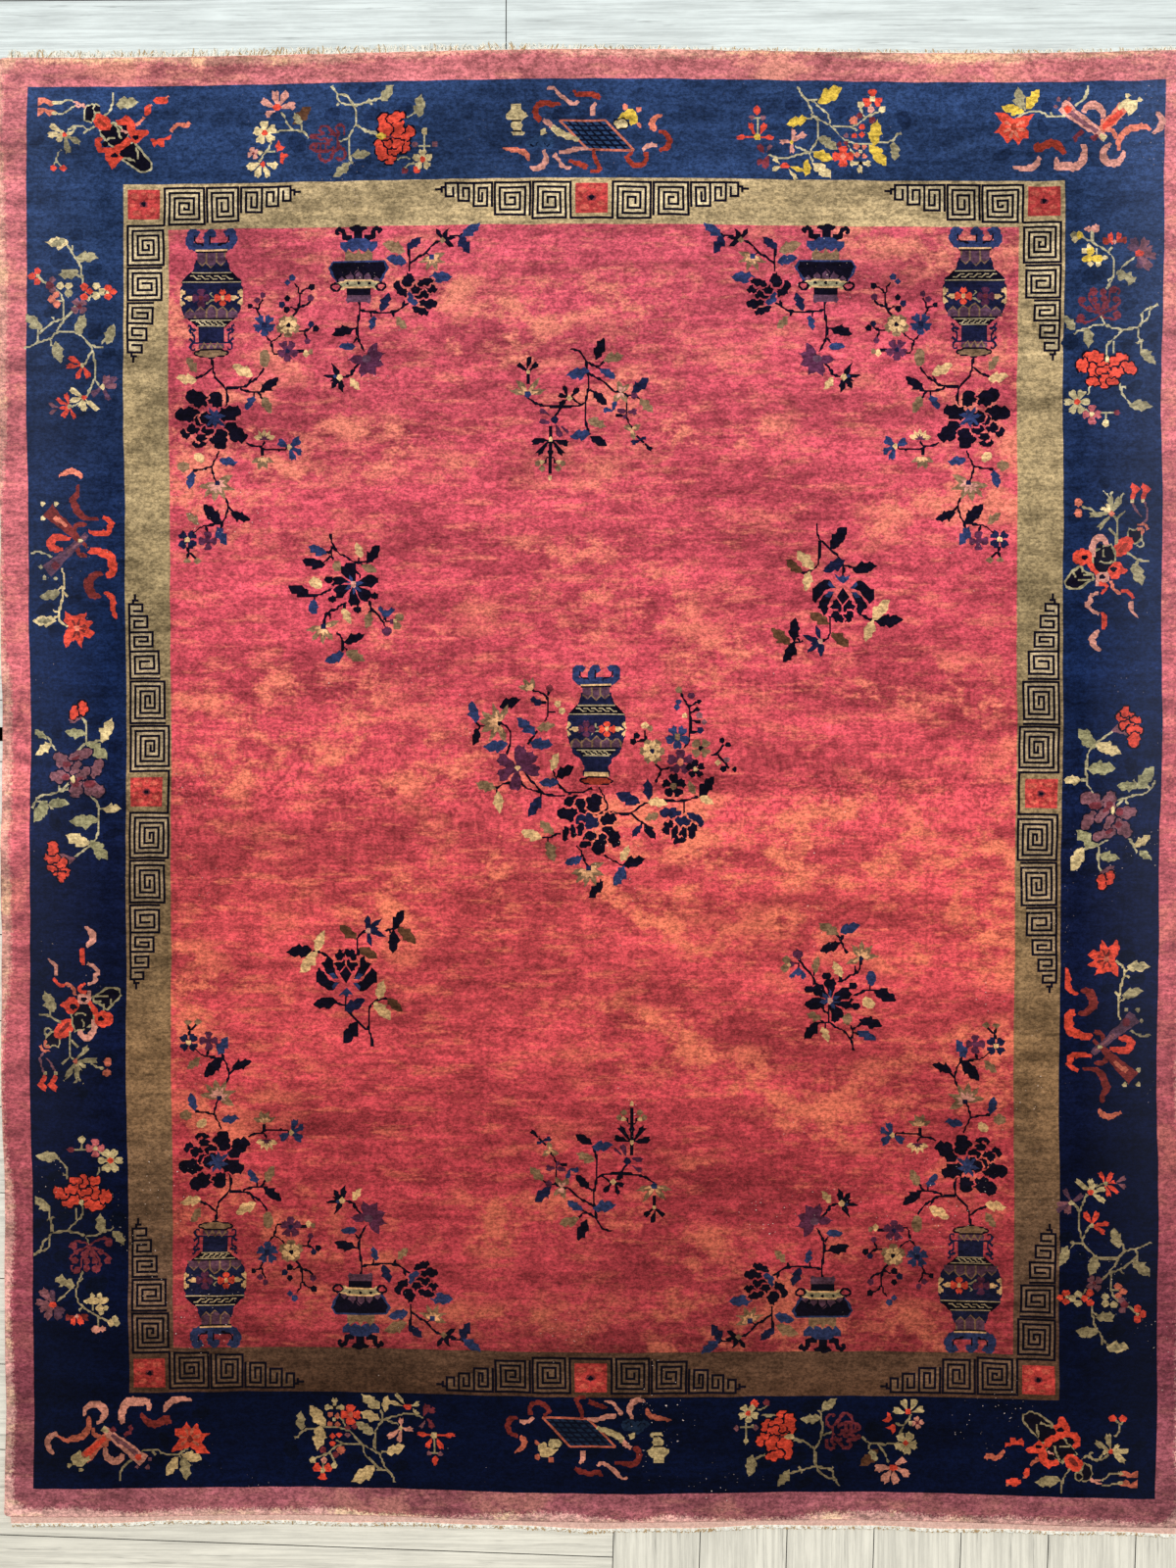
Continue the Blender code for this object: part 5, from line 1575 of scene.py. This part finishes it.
# At the near end most strands are tan: partly tan tufts and partly a painted shadow of the cord on the
# floor.
STRAND_DYES = {1: (0, 0, 0, 0, 2), -1: (2, 2, 0)}  # numbers of the cottons they are drawn from
STRAND_SPREAD = 22           # of their headings, in degrees
STRAND_HALF = (0.9, 2.0)     # least and greatest half width
STRAND_FOOT = (3.0, 7.0)     # least and greatest height of the root
STRAND_BEND = 0.4            # greatest turn at a joint, in radians
STRAND_TAPER = 0.55          # share of its width that a strand loses
STRAND_CROWN = 0.8           # rise of a strand's top above its middle, in half widths
STRAND_BELLY = -0.5          # and of its underside
STRAND_TIP = 1.0             # height of a strand's tip
STRAND_LEAST = 0.1           # least height of any part of it
STRAND_STEPS = 3
STRAND_MARGIN = 16           # from the pile's sides to the outermost strands
# Ribbons by end: inner and outer edge, inner and outer height, ragged part and the cotton's number.
RIBBONS = {1: ((-3.0, 4.0, 6.5, 5.0, 1.2, 0),),
           -1: ((-3.0, 17.5, 9.6, 5.0, 0.8, 1), (12.5, 20.0, 7.5, 6.0, 2.4, 0))}
RIBBON_STEP = 5.0
RIBBON_MARGIN = 14           # from the pile's sides to the ribbons' ends
RIBBON_FOOT = 0.6            # height of a ribbon's underside
RIBBON_SLOPE = 1.5           # width of its outer slope, and half the play of its outer height
RIBBON_PLAY = 0.4            # half the play of its inner height
SELVAGE_WAVES = {1: (), -1: ((1.8, 620.0, 0.6), (1.2, 245.0, 1.9))}  # height, length and phase
FRINGE_TUCK = 3.5            # greatest move of a point inside the pile's edge out toward it
FRINGE_SEEDS = {1: 11, -1: 23}
# The tan cotton is the tan of some strands and, beyond the near cord, a painted shadow under it.
COTTONS = (("cotton", (255, 250, 234), 0.9), ("worn_end", (236, 190, 172), 0.95),
           ("tan_cotton_and_cord_shadow", (206, 172, 122), 0.9))


def fringe_point(x, y, z, shift):
    """A point of a fringe on the real rug. One inside the pile's edge is moved out toward it."""
    real_x, real_y = drift(x / 1000, max(-PILE[1], min(PILE[1], y)) / 1000)
    past = max(abs(y) - PILE[1], -FRINGE_TUCK)
    return real_x + shift.x, real_y + shift.y + math.copysign(past, y) / 1000, z / 1000


def tube(base, steps):
    """Faces of a closed four-sided tube whose rings start at one vertex."""
    faces = []
    for ring in range(base, base + 4 * steps, 4):
        for k in range(4):
            a, b = ring + k, ring + (k + 1) % 4
            faces.append((a, b, b + 4, a + 4))
    last = base + 4 * steps
    return faces + [(base + 3, base + 2, base + 1, base), (last, last + 1, last + 2, last + 3)]


def add_strand(verts, faces, chance, x, end, shift, length):
    """One loose warp end, a bent and tapering strand."""
    heading = math.radians(chance.gauss(90, STRAND_SPREAD))
    half, foot = chance.uniform(*STRAND_HALF), chance.uniform(*STRAND_FOOT)
    bend = chance.uniform(-STRAND_BEND, STRAND_BEND)
    px, py = x, PILE[1] + STRAND_ROOT[end] + wave(SELVAGE_WAVES[end], x)
    faces += tube(len(verts), STRAND_STEPS)
    for step in range(STRAND_STEPS + 1):
        share = step / STRAND_STEPS
        nx, ny = -math.sin(heading), math.cos(heading)
        width = half * (1 - STRAND_TAPER * share)
        middle = foot * (1 - share) + STRAND_TIP
        for u, w in ((-width, 0), (0, width * STRAND_CROWN), (width, 0), (0, width * STRAND_BELLY)):
            z = max(middle + w, STRAND_LEAST)
            verts.append(fringe_point(px + nx * u, end * (py + ny * u), z, shift))
        px += math.cos(heading) * length / STRAND_STEPS
        py += math.sin(heading) * length / STRAND_STEPS
        heading += bend


def add_ribbon(verts, faces, chance, end, shift, inner, outer, inner_top, outer_top, ragged):
    """A low, knobbly ribbon along one end: the bare foundation or the plain selvage."""
    steps = round(2 * PILE[0] / RIBBON_STEP)
    faces += tube(len(verts), steps)
    for step in range(steps + 1):
        x = (PILE[0] - RIBBON_MARGIN) * (2 * step / steps - 1)
        swing = wave(SELVAGE_WAVES[end], x)
        near, reach = inner + (swing if inner > 0 else 0), outer + swing + chance.uniform(-ragged, ragged)
        inner_height = inner_top + chance.uniform(-RIBBON_PLAY, RIBBON_PLAY)
        outer_height = outer_top + chance.uniform(-RIBBON_SLOPE, RIBBON_SLOPE)
        for y, z in ((near, RIBBON_FOOT), (near, inner_height), (reach - RIBBON_SLOPE, outer_height),
                     (reach, RIBBON_FOOT)):
            verts.append(fringe_point(x, end * (PILE[1] + y), z, shift))


def make_fringe(name, end, shift, materials):
    """The worn warp ends and selvage of one end, in one mesh."""
    chance = random.Random(FRINGE_SEEDS[end])
    verts, faces, slots = [], [], []
    for *ribbon, cotton in RIBBONS[end]:
        add_ribbon(verts, faces, chance, end, shift, *ribbon)
        slots += [cotton] * (len(faces) - len(slots))
    places, low, high = zip(*STRAND_LENGTHS[end])
    x = -PILE[0] + STRAND_MARGIN
    while x < PILE[0] - STRAND_MARGIN:
        length = chance.uniform(float(np.interp(x, places, low)), float(np.interp(x, places, high)))
        add_strand(verts, faces, chance, x, end, shift, length)
        slots += [chance.choice(STRAND_DYES[end])] * (len(faces) - len(slots))
        x += chance.uniform(*STRAND_GAPS[end])
    return add_object(name, verts, faces, slots, materials)


# ---------------------------------------------------------------- floor, light and camera, in metres
FLOOR_REACH = 4.2            # half the bed's width
BED_TOP, BOARD_TOP = -0.006, -0.0004
BOARD_WIDTH = 0.1795
BOARD_GAP = 0.0010           # half a seam
# Blocks of boards: left, right, low and high edge, whether the boards run across, the place of a seam
# and the boards' turn in degrees.
FLOOR_BLOCKS = (
    (-4.0, -0.178, 0.1, 1.622, True, 1.622, -0.1),
    (-0.178, 4.0, 0.1, 1.622, True, 1.622, -0.1),
    (-4.0, 0.72, 1.622, 4.0, True, 1.622, -0.1),
    (0.72, 4.0, 1.622, 4.0, True, 1.622, -0.1),
    (-4.0, 0.089, -4.0, 0.1, True, -1.588, -1.55),
    (0.089, 4.0, -4.0, 0.1, False, 0.089, -1.55),
)
# Display colour of the boards along the floor: place (0 near, 1 far), then the colour there.
BOARD_COLOURS = ((0.03, 236, 230, 212), (0.45, 236, 234, 222), (0.60, 238, 240, 232),
                 (0.97, 232, 240, 236))
BOARD_SPAN = (-1.6, 1.6)     # near and far end of those colours
SEAM_COLOUR = (84, 80, 74)
SKY_COLOUR, SKY_STRENGTH = (0.96, 0.98, 1.0, 1.0), 0.64
SUN_STRENGTH = 1.34
SUN_ANGLE = 25               # its width on the sky, in degrees
SUN_TURN = (-32, 0, 12)      # in degrees
SENSOR = 36.0                # the camera's, in millimetres
CAMERA_HEIGHT = 3.2
VIEW_HEIGHT = 3.219          # of the view where it meets the floor
CAMERA_PLACE = (0.051, 0.070, 3.208)
CAMERA_TURN = (-0.017, 0.018, 0.0007)  # in radians


def board_material(name, across):
    """Pale limed boards whose grain runs across the view or along it."""
    material, tree, place, shader = new_material(name, 0.6)
    turn = 0.0 if across else math.pi / 2
    grain_way = node(tree, "Mapping", {"Vector": place, "Rotation": (0.0, 0.0, turn)}).outputs[0]
    colour = ramp(tree, along_axis(tree, place, "Y", *BOARD_SPAN), BOARD_COLOURS)
    marks = [layer(tree, grain_way, mark) for mark in ("fibre", "cracks", "blooms")]
    tree.links.new(multiplied(tree, colour, *marks), shader.inputs["Base Color"])
    return material


def boards_of(left, right, low, high, across, seam, turn):
    """Corners of the boards of one block. One of their long seams lies at the given place."""
    start, stop = (low, high) if across else (left, right)
    first = seam + math.floor((start - seam) / BOARD_WIDTH) * BOARD_WIDTH
    boards = []
    while first < stop:
        a, b = max(first, start) + BOARD_GAP, min(first + BOARD_WIDTH, stop) - BOARD_GAP
        first += BOARD_WIDTH
        if b - a < BOARD_GAP:
            continue
        x1, x2, y1, y2 = left + BOARD_GAP, right - BOARD_GAP, a, b
        if not across:
            x1, x2, y1, y2 = a, b, low + BOARD_GAP, high - BOARD_GAP
        boards.append(turned([(x1, y1), (x2, y1), (x2, y2), (x1, y2)], turn))
    return boards


def make_floor():
    """Blocks of boards with thin dark seams over a bed."""
    reach = FLOOR_REACH
    bed = ((-reach, -reach), (reach, -reach), (reach, reach), (-reach, reach))
    verts = [(x, y, BED_TOP) for x, y in bed]
    faces, slots = [(0, 1, 2, 3)], [2]
    for left, right, low, high, across, seam, turn in FLOOR_BLOCKS:
        for board in boards_of(left, right, low, high, across, seam, turn):
            base = len(verts)
            verts += [(x, y, BOARD_TOP) for x, y in board]
            faces.append((base, base + 1, base + 2, base + 3))
            slots.append(0 if across else 1)
    materials = [board_material("boards_across", True), board_material("boards_along", False),
                 plain("seams", SEAM_COLOUR, 0.9)]
    return add_object("floor", verts, faces, slots, materials)


def light_and_camera():
    """Even daylight with a soft window from the far end, and a camera straight above."""
    world = bpy.data.worlds.new("daylight")
    world.use_nodes = True
    sky = world.node_tree.nodes["Background"]
    sky.inputs["Color"].default_value = SKY_COLOUR
    sky.inputs["Strength"].default_value = SKY_STRENGTH
    window = bpy.data.lights.new("window", "SUN")
    window.energy = SUN_STRENGTH
    window.angle = math.radians(SUN_ANGLE)
    lamp = bpy.data.objects.new("window", window)
    lamp.rotation_euler = [math.radians(turn) for turn in SUN_TURN]
    camera_data = bpy.data.cameras.new("camera")
    camera_data.lens = SENSOR * CAMERA_HEIGHT / VIEW_HEIGHT
    camera = bpy.data.objects.new("camera", camera_data)
    camera.location = CAMERA_PLACE
    camera.rotation_euler = CAMERA_TURN
    scene = bpy.context.scene
    for item in (lamp, camera):
        scene.collection.objects.link(item)
    scene.world = world
    scene.camera = camera
    scene.view_settings.view_transform = "Standard"


# ---------------------------------------------------------------- the scene
def main():
    """Builds the pieces over the CAD frame, then the stage."""
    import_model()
    rug = make_pile()
    shift = centre_over(rug, "rug_body")
    cottons = [plain(*cotton) for cotton in COTTONS]
    fringes = [make_fringe("fringe_far_strands", 1, shift, cottons),
               make_fringe("fringe_near_strands", -1, shift, cottons)]
    for piece, replaced, slot in zip([rug, *fringes], ("rug_body", "fringe_far", "fringe_near"),
                                     ("wool_pile", "cotton_fringe", "cotton_fringe")):
        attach(piece, "root")
        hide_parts(replaced)
    floor = make_floor()
    light_and_camera()


main()
